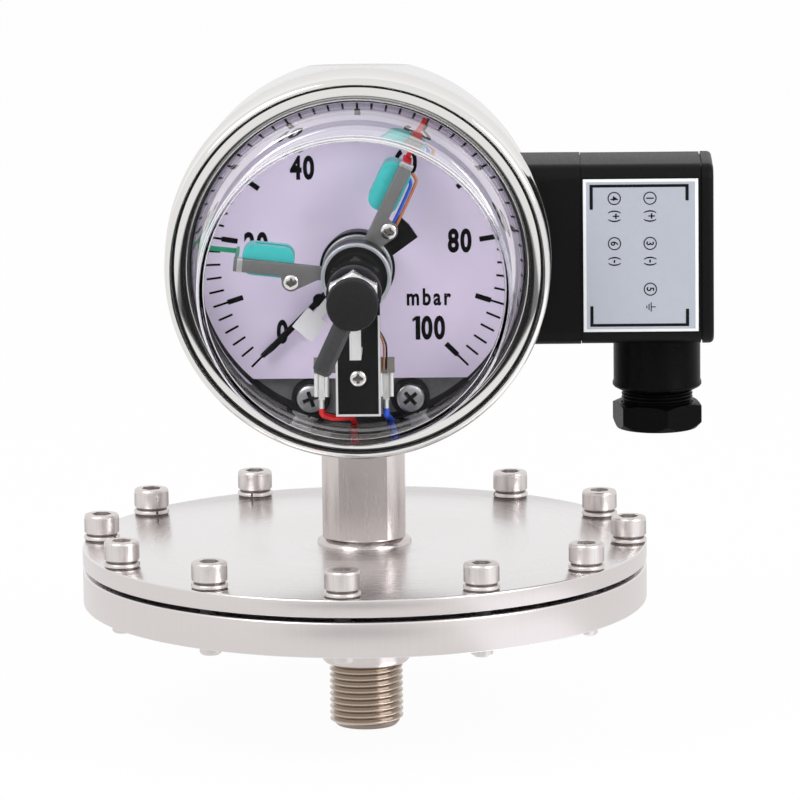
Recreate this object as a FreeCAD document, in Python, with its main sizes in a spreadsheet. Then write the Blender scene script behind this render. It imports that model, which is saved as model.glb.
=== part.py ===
import FreeCAD, Part
import math
import os
import re
import Sketcher

# Electric contact pressure gauge for low pressure. A diaphragm clamped between two flanges lifts a push rod,
# and a sector gear turns the pointer. Two limit arms with slot sensors are set from outside the window.
# Frame: origin on the process thread's axis at its upper end, +Z up, the dial faces -Y.
# Millimetres and degrees.

SIZES = {
    # process connection
    "thread_diameter": 20.955,
    "thread_length": 18,
    "thread_chamfer": 1.2,
    "port_diameter": 8,
    "flange_port_diameter": 6,
    "boss_diameter": 25,
    "boss_taper": 2.4,
    "boss_weld": 1.6,
    "connection_length": 36.6,
    # flanges, gasket and diaphragm
    "flange_diameter": 160,
    "lower_flange_thickness": 10,
    "upper_flange_thickness": 5.2,
    "flange_chamfer": 0.6,
    "gasket_width": 9,
    "chamber_depth": 2.8,
    "clamp_margin": 6,
    "gasket_thickness": 0.8,
    "diaphragm_thickness": 0.4,
    "corrugation_start": 22,
    "corrugation_margin": 2,
    "corrugation_steps": 6,
    "corrugation_height": 0.8,
    # flange screws and spring washers
    "bolt_edge": 5,
    "bolt_count": 12,
    "bolt_lead": 3.4,
    "bolt_diameter": 6,
    "bolt_head_diameter": 10,
    "bolt_head_height": 6,
    "bolt_head_chamfer": 0.6,
    "bolt_socket": 5,
    "bolt_socket_depth": 3,
    "bolt_tail": 2.2,
    "hole_clearance": 0.3,
    "fit_clearance": 0.05,
    "washer_diameter": 10.2,
    "washer_thickness": 1.5,
    "washer_slit": 0.8,
    # stem and push rod
    "stem_flat": 23.3,
    "stem_diameter": 27,
    "stem_collar": 23,
    "stem_collar_height": 2.4,
    "stem_bore": 8,
    "stem_entry": 33,
    "head_above_flange": 85.4,
    "rod_diameter": 4,
    "rod_tip_diameter": 2.4,
    "rod_tip_length": 5,
    "rod_plate_diameter": 40,
    "rod_plate_thickness": 0.8,
    # case
    "case_diameter": 103.2,
    "case_wall": 1.5,
    "case_back": 14,
    "case_front": 38.5,
    "case_round": 6,
    "case_flat_depth": 2.2,
    # bezel
    "bezel_rear": 26,
    "bezel_wall": 1.4,
    "bezel_clearance": 0.2,
    "rear_bead": 0.6,
    "rear_bead_width": 3,
    "lip_gap": 0.6,
    "lip_thickness": 2.2,
    "front_bead": 1.6,
    "front_bead_width": 2.2,
    # window
    "window_wall": 1.8,
    "window_flange": 2.5,
    "window_flange_gap": 0.6,
    "window_ledge": 5.6,
    "window_taper": 4,
    "window_reach": 81,
    "window_round": 2.2,
    "window_gasket": 1.2,
    # base plate and dial
    "plate_back": 20.5,
    "plate_thickness": 2,
    "plate_margin": 5,
    "dial_gap": 2.7,
    "dial_thickness": 1,
    "dial_margin": 5.6,
    "dial_cut_depth": 12.4,
    "dial_hole": 8,
    "dial_post": 5,
    "dial_post_inset": 8,
    "plate_screw_clock": 19.34,
    "plate_screw_inset": 4.63,
    "plate_screw_head": 7.9,
    "plate_screw_height": 2.2,
    "plate_screw_diameter": 4,
    "plate_screw_length": 5,
    "grommet_diameter": 10.8,
    "grommet_thickness": 1.2,
    # socket block on the stem
    "block_width": 26,
    "block_back": 10,
    "block_top": 28,
    "block_bottom": 34,
    "apron_margin": 2.6,
    "apron_thickness": 6.5,
    # movement
    "movement_rear": 5,
    "movement_front": 7.5,
    "movement_plate": 1.5,
    "movement_width": 24,
    "movement_top": 8,
    "pillar_diameter": 4,
    "pillar_spread": 9,
    "pillar_high": 4,
    "pillar_low": 25,
    "arbor_diameter": 3,
    "staff_diameter": 2.4,
    "gear_module": 0.4,
    "gear_ratio": 10,
    "pinion_teeth": 10,
    "gear_back": 0.5,
    "gear_width": 1.6,
    "lever_arm": 3.2,
    "lever_round": 1.4,
    "lever_gap": 0.2,
    # pointer, driver disc and vane
    "pointer_sweep": 270,
    "pointer_gap": 2,
    "pointer_thickness": 1,
    "pointer_width": 1.7,
    "pointer_length": 38,
    "pointer_tail": 8,
    "pointer_hub": 8,
    "pointer_lobe": 3.6,
    "pointer_lobe_reach": 15.6,
    "disc_gap": 1.8,
    "disc_thickness": 3.4,
    "vane_gap": 4.8,
    "vane_thickness": 0.8,
    "vane_size": 6.9,
    "vane_reach": 20.9,
    "vane_neck": 2.6,
    "vane_foot": 5,
    "vane_lag": 5,
    # hubs of the limit arms
    "hub_diameter": 18.8,
    "rim_diameter": 19.4,
    "rim_width": 1.1,
    "rim_height": 1.4,
    "spindle_diameter": 5,
    "spindle_head": 7,
    "spindle_head_height": 0.5,
    "hub_gap": 0.6,
    "high_hub_length": 3.4,
    "low_hub_length": 6.3,
    # limit arms
    "arm_thickness": 2,
    "arm_width": 3.7,
    "ear_diameter": 5.2,
    "ear_offset": 3.2,
    "arm_screw_head": 4.3,
    "arm_screw_height": 0.5,
    "arm_screw_diameter": 2.4,
    "low_angle": -83.5,
    "low_reach": 33.8,
    "low_ear_reach": 17.6,
    "high_angle": 25.6,
    "high_reach": 32.6,
    "high_ear_reach": 13.6,
    "sensor_inner": 17.4,
    "sensor_length": 14.2,
    "sensor_width": 8.4,
    "sensor_shift": 1.6,
    "sensor_round": 3,
    "low_sensor_depth": 7.4,
    "high_sensor_depth": 9,
    "sensor_slot": 2.6,
    "sensor_slot_end": 3.2,
    "tip_thickness": 0.8,
    "tip_leg_width": 2.4,
    "tip_width": 1.3,
    "low_tip_reach": 42.2,
    "low_tip_depth": 33,
    "high_tip_reach": 42.6,
    "high_tip_depth": 30.6,
    "guard_ring": 1,
    "guard_radius": 18.8,
    "guard_thickness": 1.6,
    "guard_start": 12,
    "guard_end": 37,
    "guard_root": 44,
    "sensor_lead_diameter": 0.9,
    # bracket, terminals and leads
    "bracket_width": 12.4,
    "bracket_thickness": 1.5,
    "bracket_inset": 6.4,
    "bracket_foot": 6,
    "bracket_foot_width": 10,
    "face_plate_thickness": 0.8,
    "face_plate_top": 12,
    "bracket_screw_drop": 29.5,
    "bracket_screw_head": 4.7,
    "bracket_screw_height": 1.2,
    "strip_left": 12.3,
    "strip_right": 10,
    "strip_top": 24.4,
    "strip_height": 4,
    "strip_thickness": 2.2,
    "tab_width": 4.2,
    "tab_length": 7,
    "tab_thickness": 1.4,
    "crimp_width": 2.4,
    "crimp_length": 3,
    "left_tab": -10.2,
    "right_tab": 7.6,
    "lead_diameter": 1.7,
    "lead_margin": 2.1,
    "lead_spread": 2.8,
    # adjuster in the window
    "lock_bore": 4.1,
    "lock_tube": 8,
    "lock_collar_diameter": 15,
    "lock_collar_length": 6,
    "lock_hex": 13,
    "lock_hex_length": 7,
    "lock_nut_diameter": 12,
    "lock_nut_length": 2.2,
    "knob_spindle": 4,
    "knob_gap": 0.4,
    "knob_neck_diameter": 9,
    "knob_neck_length": 3.6,
    "knob_diameter": 14,
    "knob_length": 6,
    "knob_round": 0.8,
    "lever_angle": 205,
    "lever_width": 5.2,
    "lever_length": 21,
    "lever_thickness": 4,
    "driver_width": 3.1,
    "driver_reach": 19.6,
    "driver_thickness": 0.9,
    "driver_gap": 1,
    "driver_catch": 14.6,
    # connector
    "connector_reach": 10.1,
    "connector_length": 33.6,
    "connector_half_height": 25.4,
    "connector_front": 25,
    "connector_depth": 30,
    "connector_round": 3,
    "connector_wall": 2.6,
    "cover_thickness": 3.4,
    "adapter_sink": 9.6,
    "wire_bore": 16,
    "gland_offset": 21.3,
    "gland_diameter": 24.4,
    "gland_length": 15,
    "gland_bore": 15,
    "gland_neck_diameter": 20,
    "gland_neck_length": 7.6,
    "gland_nut": 22.6,
    "gland_nut_length": 7.2,
    "gland_nut_floor": 3,
    "gland_nut_hole": 10,
    "gland_seal_bore": 7,
    "gland_seal_rise": 0.6,
    "insert_offset": 6.3,
    "insert_length": 6,
    "insert_depth": 18,
    "insert_height": 20,
}

doc = FreeCAD.newDocument("contact_gauge")
dims = doc.addObject("Spreadsheet::Sheet", "dims")
for row, (alias, number) in enumerate(SIZES.items(), start=1):
    dims.set(f"A{row}", alias)
    dims.set(f"B{row}", str(number))
    dims.setAlias(f"B{row}", alias)
doc.recompute()

sub_parts = []

# Heights above the thread's upper end, from the process side up
FLANGE_BOTTOM = "(connection_length - thread_length)"
FLANGE_SEAT = f"({FLANGE_BOTTOM} + lower_flange_thickness)"
DIAPHRAGM_BOTTOM = f"({FLANGE_SEAT} + gasket_thickness)"
UPPER_BOTTOM = f"({DIAPHRAGM_BOTTOM} + diaphragm_thickness)"
FLANGE_TOP = f"({UPPER_BOTTOM} + upper_flange_thickness)"
HEAD = f"({FLANGE_TOP} + head_above_flange)"

# Radii of the flanges that follow their rim
BOLT_RADIUS = "(flange_diameter / 2 - bolt_edge)"
CLAMP_RADIUS = f"({BOLT_RADIUS} - clamp_margin)"
CHAMBER_RADIUS = f"({CLAMP_RADIUS} - gasket_width)"

# Radii and drops below the dial's centre that follow the case
CASE_RADIUS = "(case_diameter / 2)"
WINDOW_FLANGE = f"({CASE_RADIUS} + bezel_clearance - window_flange_gap)"
WINDOW_BASE = f"({CASE_RADIUS} - window_ledge)"
WINDOW_NOSE = f"({WINDOW_BASE} - window_taper)"
PLATE_RADIUS = f"({CASE_RADIUS} - plate_margin)"
PLATE_SCREW_RING = f"({PLATE_RADIUS} - plate_screw_inset)"
PLATE_SCREW_SPREAD = f"({PLATE_SCREW_RING} * sin(plate_screw_clock))"
PLATE_SCREW_DROP = f"({PLATE_SCREW_RING} * cos(plate_screw_clock))"
DIAL_RADIUS = f"({CASE_RADIUS} - dial_margin)"
BRACKET_DROP = f"({PLATE_RADIUS} - bracket_inset)"
APRON_EDGE = f"({PLATE_SCREW_SPREAD} + apron_margin)"
APRON_DROP = f"({PLATE_SCREW_DROP} + apron_margin)"

# Depths along the dial's axis, forward of the stem's axis
WINDOW_SEAT = "(case_front + window_flange)"
LIP_BACK = f"({WINDOW_SEAT} + window_gasket)"
LIP_FRONT = f"({LIP_BACK} + lip_thickness)"
PLATE_FACE = "(plate_back + plate_thickness)"
DIAL_BACK = f"({PLATE_FACE} + dial_gap)"
DIAL_FACE = f"({DIAL_BACK} + dial_thickness)"
POINTER_BACK = f"({DIAL_FACE} + pointer_gap)"
DISC_BACK = f"({POINTER_BACK} + pointer_thickness + disc_gap)"
DISC_FACE = f"({DISC_BACK} + disc_thickness)"
VANE_BACK = f"({DISC_FACE} + vane_gap)"
HIGH_HUB_BACK = f"({VANE_BACK} + vane_thickness + hub_gap)"
HIGH_ARM_BACK = f"({HIGH_HUB_BACK} + high_hub_length)"
BRACKET_BACK = f"({HIGH_ARM_BACK} + arm_thickness + hub_gap)"
BRACKET_FACE = f"({BRACKET_BACK} + bracket_thickness)"
LOW_HUB_BACK = f"({BRACKET_FACE} + hub_gap)"
LOW_ARM_BACK = f"({LOW_HUB_BACK} + low_hub_length)"
LOW_ARM_FACE = f"({LOW_ARM_BACK} + arm_thickness)"
LOW_RIM_FACE = f"({LOW_ARM_FACE} + rim_height)"
LOCK_HEX_BACK = "(window_reach + lock_collar_length)"
LOCK_HEX_FACE = f"({LOCK_HEX_BACK} + lock_hex_length)"
KNOB_NECK_BACK = f"({LOCK_HEX_FACE} + knob_gap)"
KNOB_BACK = f"({KNOB_NECK_BACK} + knob_neck_length)"
LOCK_NUT_FACE = "(window_reach - window_wall)"
LOCK_NUT_BACK = f"({LOCK_NUT_FACE} - lock_nut_length)"
DRIVER_FACE = f"({LOCK_NUT_BACK} - driver_gap)"
DRIVER_BACK = f"({DRIVER_FACE} - driver_thickness)"

# Gear centres: the pinion is on the dial's axis, the sector's staff is lever_arm left of the push rod
PINION_RADIUS = "(gear_module * pinion_teeth / 2)"
GEAR_CENTRES = f"({PINION_RADIUS} * (1 + gear_ratio))"
STAFF_DROP = f"sqrt({GEAR_CENTRES} * {GEAR_CENTRES} - lever_arm * lever_arm)"
HALF_SWING = "(pointer_sweep / gear_ratio / 2)"
ROD_TOP = f"({HEAD} - {STAFF_DROP} - lever_arm * sin({HALF_SWING}) - lever_round - lever_gap)"

WORD = re.compile(r"[A-Za-z_]+")


def bound(formula):
    """Write a formula of size names as an expression on the sheet."""
    return WORD.sub(lambda word: f"dims.{word.group()}" if word.group() in SIZES else word.group(), formula)


def size(alias):
    """Read one size from the sheet."""
    return float(dims.get(alias))


def read(formula):
    """Read a formula through a cell of the sheet."""
    dims.set("D1", "=" + formula)
    doc.recompute()
    return float(dims.get("D1"))


def keep(item, label=None):
    """List a finished sub-part under the name of its file."""
    item.Label = label or item.Name
    sub_parts.append(item)
    return item


def upright(item):
    """Leave a piece of the process side in the part's own frame."""
    item.setExpression("Placement", "placement(vector(0; 0; 0); rotation(vector(0; 0; 1); 0))")
    return item


def on_dial(item, angle="0"):
    """Stand a piece on the dial's axis: its z points at the viewer, its y at a clock angle from the top."""
    turn = f"rotation(vector(1; 0; 0); 90) * rotation(vector(0; 0; 1); 0 - ({bound(angle)}))"
    item.setExpression("Placement", f"placement(vector(0; 0; {bound(HEAD)}); {turn})")
    return item


def new_body(name):
    """Start a body."""
    return doc.addObject("PartDesign::Body", name)


def new_sketch(body, plane, height="0"):
    """Attach a sketch to one of the body's origin planes, lifted to a height."""
    sketch = body.newObject("Sketcher::SketchObject", f"{body.Name}_sketch")
    origin_plane = next(item for item in body.Origin.OriginFeatures if item.Role == plane)
    sketch.AttachmentSupport = [(origin_plane, "")]
    sketch.MapMode = "FlatFace"
    sketch.setExpression("AttachmentOffset.Base.z", bound(height))
    return sketch


def pin_point(sketch, geometry, position, across, along):
    """Fix a point of a sketch at two formulas from the sketch's origin."""
    for kind, formula in (("DistanceX", across), ("DistanceY", along)):
        index = sketch.addConstraint(Sketcher.Constraint(kind, -1, 1, geometry, position, 1.0))
        sketch.setExpression(f"Constraints[{index}]", bound(formula))


def draw_polygon(sketch, points):
    """Draw a closed outline through points given as pairs of formulas."""
    first = sketch.GeometryCount
    count = len(points)
    corners = []
    for index in range(count):
        turn = 2 * math.pi * index / count
        corners.append(FreeCAD.Vector(30 * math.cos(turn), 30 * math.sin(turn), 0))
    for index in range(count):
        sketch.addGeometry(Part.LineSegment(corners[index], corners[(index + 1) % count]), False)
    for index in range(count):
        following = first + (index + 1) % count
        sketch.addConstraint(Sketcher.Constraint("Coincident", first + index, 2, following, 1))
    for index, (across, along) in enumerate(points):
        pin_point(sketch, first + index, 1, across, along)


def draw_circle(sketch, across, along, radius):
    """Draw a circle whose centre and radius are formulas."""
    centre = FreeCAD.Vector(0, 0, 0)
    geometry = sketch.addGeometry(Part.Circle(centre, FreeCAD.Vector(0, 0, 1), 1), False)
    pin_point(sketch, geometry, 3, across, along)
    index = sketch.addConstraint(Sketcher.Constraint("Radius", geometry, 1.0))
    sketch.setExpression(f"Constraints[{index}]", bound(radius))


def draw_chord_disc(sketch, radius, chord):
    """Draw a circle cut by a level chord, below the centre where the chord is negative."""
    value = 40.0
    side = -1 if chord.startswith("-") else 1
    level = 0.8 * value
    half = math.sqrt(value * value - level * level)
    right = math.atan2(side * level, half)
    left = math.pi - right
    start, end = (left, right + 2 * math.pi) if side > 0 else (right, left)
    circle = Part.Circle(FreeCAD.Vector(0, 0, 0), FreeCAD.Vector(0, 0, 1), value)
    arc = sketch.addGeometry(Part.ArcOfCircle(circle, start, end), False)
    first = FreeCAD.Vector(value * math.cos(end), value * math.sin(end), 0)
    last = FreeCAD.Vector(value * math.cos(start), value * math.sin(start), 0)
    line = sketch.addGeometry(Part.LineSegment(first, last), False)
    sketch.addConstraint(Sketcher.Constraint("Coincident", arc, 2, line, 1))
    sketch.addConstraint(Sketcher.Constraint("Coincident", line, 2, arc, 1))
    sketch.addConstraint(Sketcher.Constraint("Coincident", arc, 3, -1, 1))
    sketch.addConstraint(Sketcher.Constraint("Horizontal", line))
    index = sketch.addConstraint(Sketcher.Constraint("Radius", arc, value))
    sketch.setExpression(f"Constraints[{index}]", bound(radius))
    index = sketch.addConstraint(Sketcher.Constraint("DistanceY", -1, 1, line, 1, side * level))
    sketch.setExpression(f"Constraints[{index}]", bound(chord))


def add_feature(body, kind, sketch, **formulas):
    """Add a feature on a sketch, with its lengths bound to formulas."""
    feature = body.newObject(f"PartDesign::{kind}", f"{body.Name}_{kind.lower()}")
    feature.Profile = sketch
    for name, formula in formulas.items():
        feature.setExpression(name, bound(formula))
    sketch.Visibility = False
    return feature


def turn_profile(body, points):
    """Revolve a closed profile, given as radius and height, about the body's z axis."""
    sketch = new_sketch(body, "XZ_Plane")
    draw_polygon(sketch, points)
    feature = add_feature(body, "Revolution", sketch)
    feature.ReferenceAxis = (sketch, ["V_Axis"])
    feature.Angle = 360
    doc.recompute()
    return sketch, feature


def turned(name, points):
    """Make a turned piece."""
    body = new_body(name)
    turn_profile(body, points)
    return body


def pad(body, start, length, polygons=(), circles=()):
    """Pad outlines and circles from a start height through a length."""
    sketch = new_sketch(body, "XY_Plane", start)
    for points in polygons:
        draw_polygon(sketch, points)
    for circle in circles:
        draw_circle(sketch, *circle)
    feature = add_feature(body, "Pad", sketch, Length=length)
    doc.recompute()
    return feature


def cut_down(body, top, depth, polygons=(), circles=()):
    """Pocket outlines and circles from a top height down through a depth, and prove that it cuts."""
    before = body.Shape.Volume
    sketch = new_sketch(body, "XY_Plane", top)
    for points in polygons:
        draw_polygon(sketch, points)
    for circle in circles:
        draw_circle(sketch, *circle)
    feature = add_feature(body, "Pocket", sketch, Length=depth)
    doc.recompute()
    if not body.Shape.Volume < before:
        raise RuntimeError(f"{feature.Name} cuts nothing")
    return feature


def rectangle(left, right, low, high):
    """Corners of an upright rectangle as formulas."""
    return [(left, low), (right, low), (right, high), (left, high)]


def hexagon(across_flats):
    """Corners of a hexagon on the axis, with a corner at the top."""
    radius = f"({across_flats}) / sqrt(3)"
    return [(f"{radius} * sin({60 * step})", f"{radius} * cos({60 * step})") for step in range(6)]


def round_edges(body, choose, radius, kind="Fillet"):
    """Round or chamfer the edges of a body that a test picks."""
    base = body.Tip
    names = [f"Edge{index}" for index, edge in enumerate(base.Shape.Edges, start=1) if choose(edge)]
    if not names:
        raise RuntimeError(f"no edges to dress on {body.Name}")
    feature = body.newObject(f"PartDesign::{kind}", f"{body.Name}_{kind.lower()}")
    feature.Base = (base, names)
    feature.setExpression("Radius" if kind == "Fillet" else "Size", bound(radius))
    doc.recompute()
    return feature


def ring_edge(radius, height):
    """Test for the circular edge of a turned piece at a radius and a height."""
    def matches(edge):
        curve = edge.Curve
        if not isinstance(curve, Part.Circle):
            return False
        return abs(curve.Radius - radius) < 0.01 and abs(curve.Center.z - height) < 0.01
    return matches


def long_edge(direction):
    """Test for the straight edges that run along a direction."""
    def matches(edge):
        if not isinstance(edge.Curve, Part.Line):
            return False
        return abs(abs(edge.tangentAt(edge.FirstParameter).dot(direction)) - 1) < 1e-6
    return matches


def polar_pattern(body, feature, count):
    """Repeat a feature around the body's z axis."""
    pattern = body.newObject("PartDesign::PolarPattern", f"{body.Name}_pattern")
    pattern.Originals = [feature]
    axis = next(item for item in body.Origin.OriginFeatures if item.Role == "Z_Axis")
    pattern.Axis = (axis, [""])
    pattern.Angle = 360
    pattern.setExpression("Occurrences", bound(count))
    body.Tip = pattern
    doc.recompute()
    return pattern


def box(name, low, high):
    """Make a box between two corners given as formulas of the part's frame."""
    item = doc.addObject("Part::Box", name)
    for axis, side, start, end in zip("xyz", ("Length", "Width", "Height"), low, high):
        item.setExpression(side, bound(f"({end}) - ({start})"))
        item.setExpression(f"Placement.Base.{axis}", bound(start))
    return item


def rod(name, radius, start, end, place, turn):
    """Make a cylinder along its own z, from start to end, placed by a base point and a turn."""
    item = doc.addObject("Part::Cylinder", name)
    item.setExpression("Radius", bound(radius))
    item.setExpression("Height", bound(f"({end}) - ({start})"))
    shift = f"placement(vector(0; 0; {bound(start)}); rotation(vector(0; 0; 1); 0))"
    base = "; ".join(bound(formula) for formula in place)
    item.setExpression("Placement", f"placement(vector({base}); {turn}) * {shift}")
    return item


ALONG_X = "rotation(vector(0; 1; 0); 90)"
ALONG_Z = "rotation(vector(0; 0; 1); 0)"
TOWARDS_VIEWER = "rotation(vector(1; 0; 0); 90)"


def combine(kind, name, *items):
    """Join pieces with a boolean: the first piece is the base."""
    item = doc.addObject(f"Part::{kind}", name)
    if kind == "MultiFuse":
        item.Shapes = list(items)
    else:
        item.Base, item.Tool = items
    doc.recompute()
    return item


def ring_of(name, single, count, start_angle):
    """Repeat one solid around the stem's axis as a group of separate solids."""
    copies = []
    for index in range(count):
        copy = single.Shape.copy()
        copy.rotate(FreeCAD.Vector(0, 0, 0), FreeCAD.Vector(0, 0, 1), start_angle + 360 * index / count)
        copies.append(copy)
    group = doc.addObject("Part::Feature", name)
    group.Shape = Part.makeCompound(copies)
    group.Placement = FreeCAD.Placement()
    return keep(group)


def build_process_side():
    """Threaded connection, flanges, gasket and diaphragm, on the stem's axis."""
    port = "port_diameter / 2"
    thread = "thread_diameter / 2"
    boss = "boss_diameter / 2"
    connection = turned("process_connection", [
        (port, "0 - thread_length"),
        (f"{thread} - thread_chamfer", "0 - thread_length"),
        (thread, "thread_chamfer - thread_length"),
        (thread, "0"),
        (boss, "boss_taper"),
        (boss, f"{FLANGE_BOTTOM} - boss_weld"),
        (f"{boss} + boss_weld", FLANGE_BOTTOM),
        (port, FLANGE_BOTTOM),
    ])
    keep(upright(connection))

    rim = "flange_diameter / 2"
    chamber = CHAMBER_RADIUS
    flange_port = "flange_port_diameter / 2"
    lower = turned("lower_flange", [
        (flange_port, FLANGE_BOTTOM),
        (f"{rim} - flange_chamfer", FLANGE_BOTTOM),
        (rim, f"{FLANGE_BOTTOM} + flange_chamfer"),
        (rim, f"{FLANGE_SEAT} - flange_chamfer"),
        (f"{rim} - flange_chamfer", FLANGE_SEAT),
        (chamber, FLANGE_SEAT),
        (f"{chamber} - chamber_depth", f"{FLANGE_SEAT} - chamber_depth"),
        (flange_port, f"{FLANGE_SEAT} - chamber_depth"),
    ])
    tapped = cut_down(lower, FLANGE_SEAT, "lower_flange_thickness", circles=[bolt_hole("fit_clearance")])
    polar_pattern(lower, tapped, "bolt_count")
    keep(upright(lower))

    gasket = turned("flange_gasket", [
        (chamber, FLANGE_SEAT),
        (CLAMP_RADIUS, FLANGE_SEAT),
        (CLAMP_RADIUS, DIAPHRAGM_BOTTOM),
        (chamber, DIAPHRAGM_BOTTOM),
    ])
    keep(upright(gasket))

    waves = []
    span = f"({chamber} - corrugation_margin - corrugation_start)"
    for step in range(int(size("corrugation_steps")) + 1):
        lift = "corrugation_height" if step % 2 else "0"
        waves.append((f"corrugation_start + {span} * {step} / corrugation_steps", lift))
    underside = [(radius, f"{DIAPHRAGM_BOTTOM} + {lift}") for radius, lift in waves]
    topside = [(radius, f"{UPPER_BOTTOM} + {lift}") for radius, lift in reversed(waves)]
    diaphragm = turned("diaphragm", [
        ("0", DIAPHRAGM_BOTTOM),
        *underside,
        (CLAMP_RADIUS, DIAPHRAGM_BOTTOM),
        (CLAMP_RADIUS, UPPER_BOTTOM),
        *topside,
        ("0", UPPER_BOTTOM),
    ])
    keep(upright(diaphragm))

    bore = "stem_bore / 2"
    upper = turned("upper_flange", [
        (bore, f"{UPPER_BOTTOM} + chamber_depth"),
        (f"{chamber} - chamber_depth", f"{UPPER_BOTTOM} + chamber_depth"),
        (chamber, UPPER_BOTTOM),
        (f"{rim} - flange_chamfer", UPPER_BOTTOM),
        (rim, f"{UPPER_BOTTOM} + flange_chamfer"),
        (rim, f"{FLANGE_TOP} - flange_chamfer"),
        (f"{rim} - flange_chamfer", FLANGE_TOP),
        (bore, FLANGE_TOP),
    ])
    clear = cut_down(upper, FLANGE_TOP, "upper_flange_thickness", circles=[bolt_hole("hole_clearance")])
    polar_pattern(upper, clear, "bolt_count")
    keep(upright(upper))


def bolt_hole(clearance):
    """Centre and radius of the first flange hole, left of the front."""
    across = f"0 - {BOLT_RADIUS} * sin(bolt_lead)"
    along = f"0 - {BOLT_RADIUS} * cos(bolt_lead)"
    return across, along, f"bolt_diameter / 2 + {clearance}"


def build_flange_fasteners():
    """Socket head screws with spring washers around the flanges."""
    shank = "bolt_diameter / 2"
    head = "bolt_head_diameter / 2"
    head_bottom = f"({FLANGE_TOP} + washer_thickness)"
    head_top = f"({head_bottom} + bolt_head_height)"
    single = turned("single_screw", [
        ("0", f"{FLANGE_BOTTOM} - bolt_tail"),
        (f"{shank} - bolt_head_chamfer", f"{FLANGE_BOTTOM} - bolt_tail"),
        (shank, f"{FLANGE_BOTTOM} - bolt_tail + bolt_head_chamfer"),
        (shank, head_bottom),
        (head, head_bottom),
        (head, f"{head_top} - bolt_head_chamfer"),
        (f"{head} - bolt_head_chamfer", head_top),
        ("0", head_top),
    ])
    cut_down(single, head_top, "bolt_socket_depth", polygons=[hexagon("bolt_socket")])
    first = f"placement(vector(0; 0 - {bound(BOLT_RADIUS)}; 0); rotation(vector(0; 0; 1); 0))"
    single.setExpression("Placement", first)

    washer = new_body("single_washer")
    pad(washer, FLANGE_TOP, "washer_thickness", circles=[
        ("0", "0", "washer_diameter / 2"),
        ("0", "0", f"{shank} + hole_clearance"),
    ])
    slit = rectangle("0 - washer_slit / 2", "washer_slit / 2", "0", "washer_diameter")
    cut_down(washer, f"{FLANGE_TOP} + washer_thickness", "washer_thickness", polygons=[slit])
    washer.setExpression("Placement", first)
    doc.recompute()

    count = int(size("bolt_count"))
    ring_of("flange_screws", single, count, -size("bolt_lead"))
    ring_of("spring_washers", washer, count, -size("bolt_lead"))


def build_stem():
    """Round bar with four flats, turned down at both ends, and the push rod in it."""
    half = "stem_flat / 2"
    stem_top = f"({HEAD} - block_bottom)"
    neck_bottom = f"({FLANGE_TOP} + stem_entry)"
    square = box("stem_square", (f"0 - {half}", f"0 - {half}", FLANGE_TOP), (half, half, neck_bottom))
    origin = ("0", "0", "0")
    barrel = rod("stem_barrel", "stem_diameter / 2", f"{FLANGE_TOP} + stem_collar_height",
                 f"{neck_bottom} - stem_collar_height", origin, ALONG_Z)
    flats = combine("Common", "stem_flats", square, barrel)
    core = rod("stem_core", "stem_collar / 2", FLANGE_TOP, stem_top, origin, ALONG_Z)
    solid = combine("MultiFuse", "stem_solid", flats, core)
    bore = rod("stem_bore_tool", "stem_bore / 2", FLANGE_TOP, stem_top, origin, ALONG_Z)
    keep(combine("Cut", "stem", solid, bore))

    shaft = "rod_diameter / 2"
    push_rod = turned("push_rod", [
        ("0", UPPER_BOTTOM),
        ("rod_plate_diameter / 2", UPPER_BOTTOM),
        ("rod_plate_diameter / 2", f"{UPPER_BOTTOM} + rod_plate_thickness"),
        (shaft, f"{UPPER_BOTTOM} + rod_plate_thickness"),
        (shaft, f"{ROD_TOP} - rod_tip_length"),
        ("rod_tip_diameter / 2", f"{ROD_TOP} - rod_tip_length"),
        ("rod_tip_diameter / 2", ROD_TOP),
        ("0", ROD_TOP),
    ])
    keep(upright(push_rod))


def drum(name, radius, chord, back, rounding):
    """Solid drum of the case with a flat on top, rounded at its back edge, up to the case's front."""
    body = new_body(name)
    outline = new_sketch(body, "XY_Plane", back)
    draw_chord_disc(outline, radius, chord)
    add_feature(body, "Pad", outline, Length=f"case_front - ({back})")
    doc.recompute()
    level = body.Shape.BoundBox.ZMin
    round_edges(body, lambda edge: edge.BoundBox.ZMax < level + 0.01, rounding)
    return on_dial(body)


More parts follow.
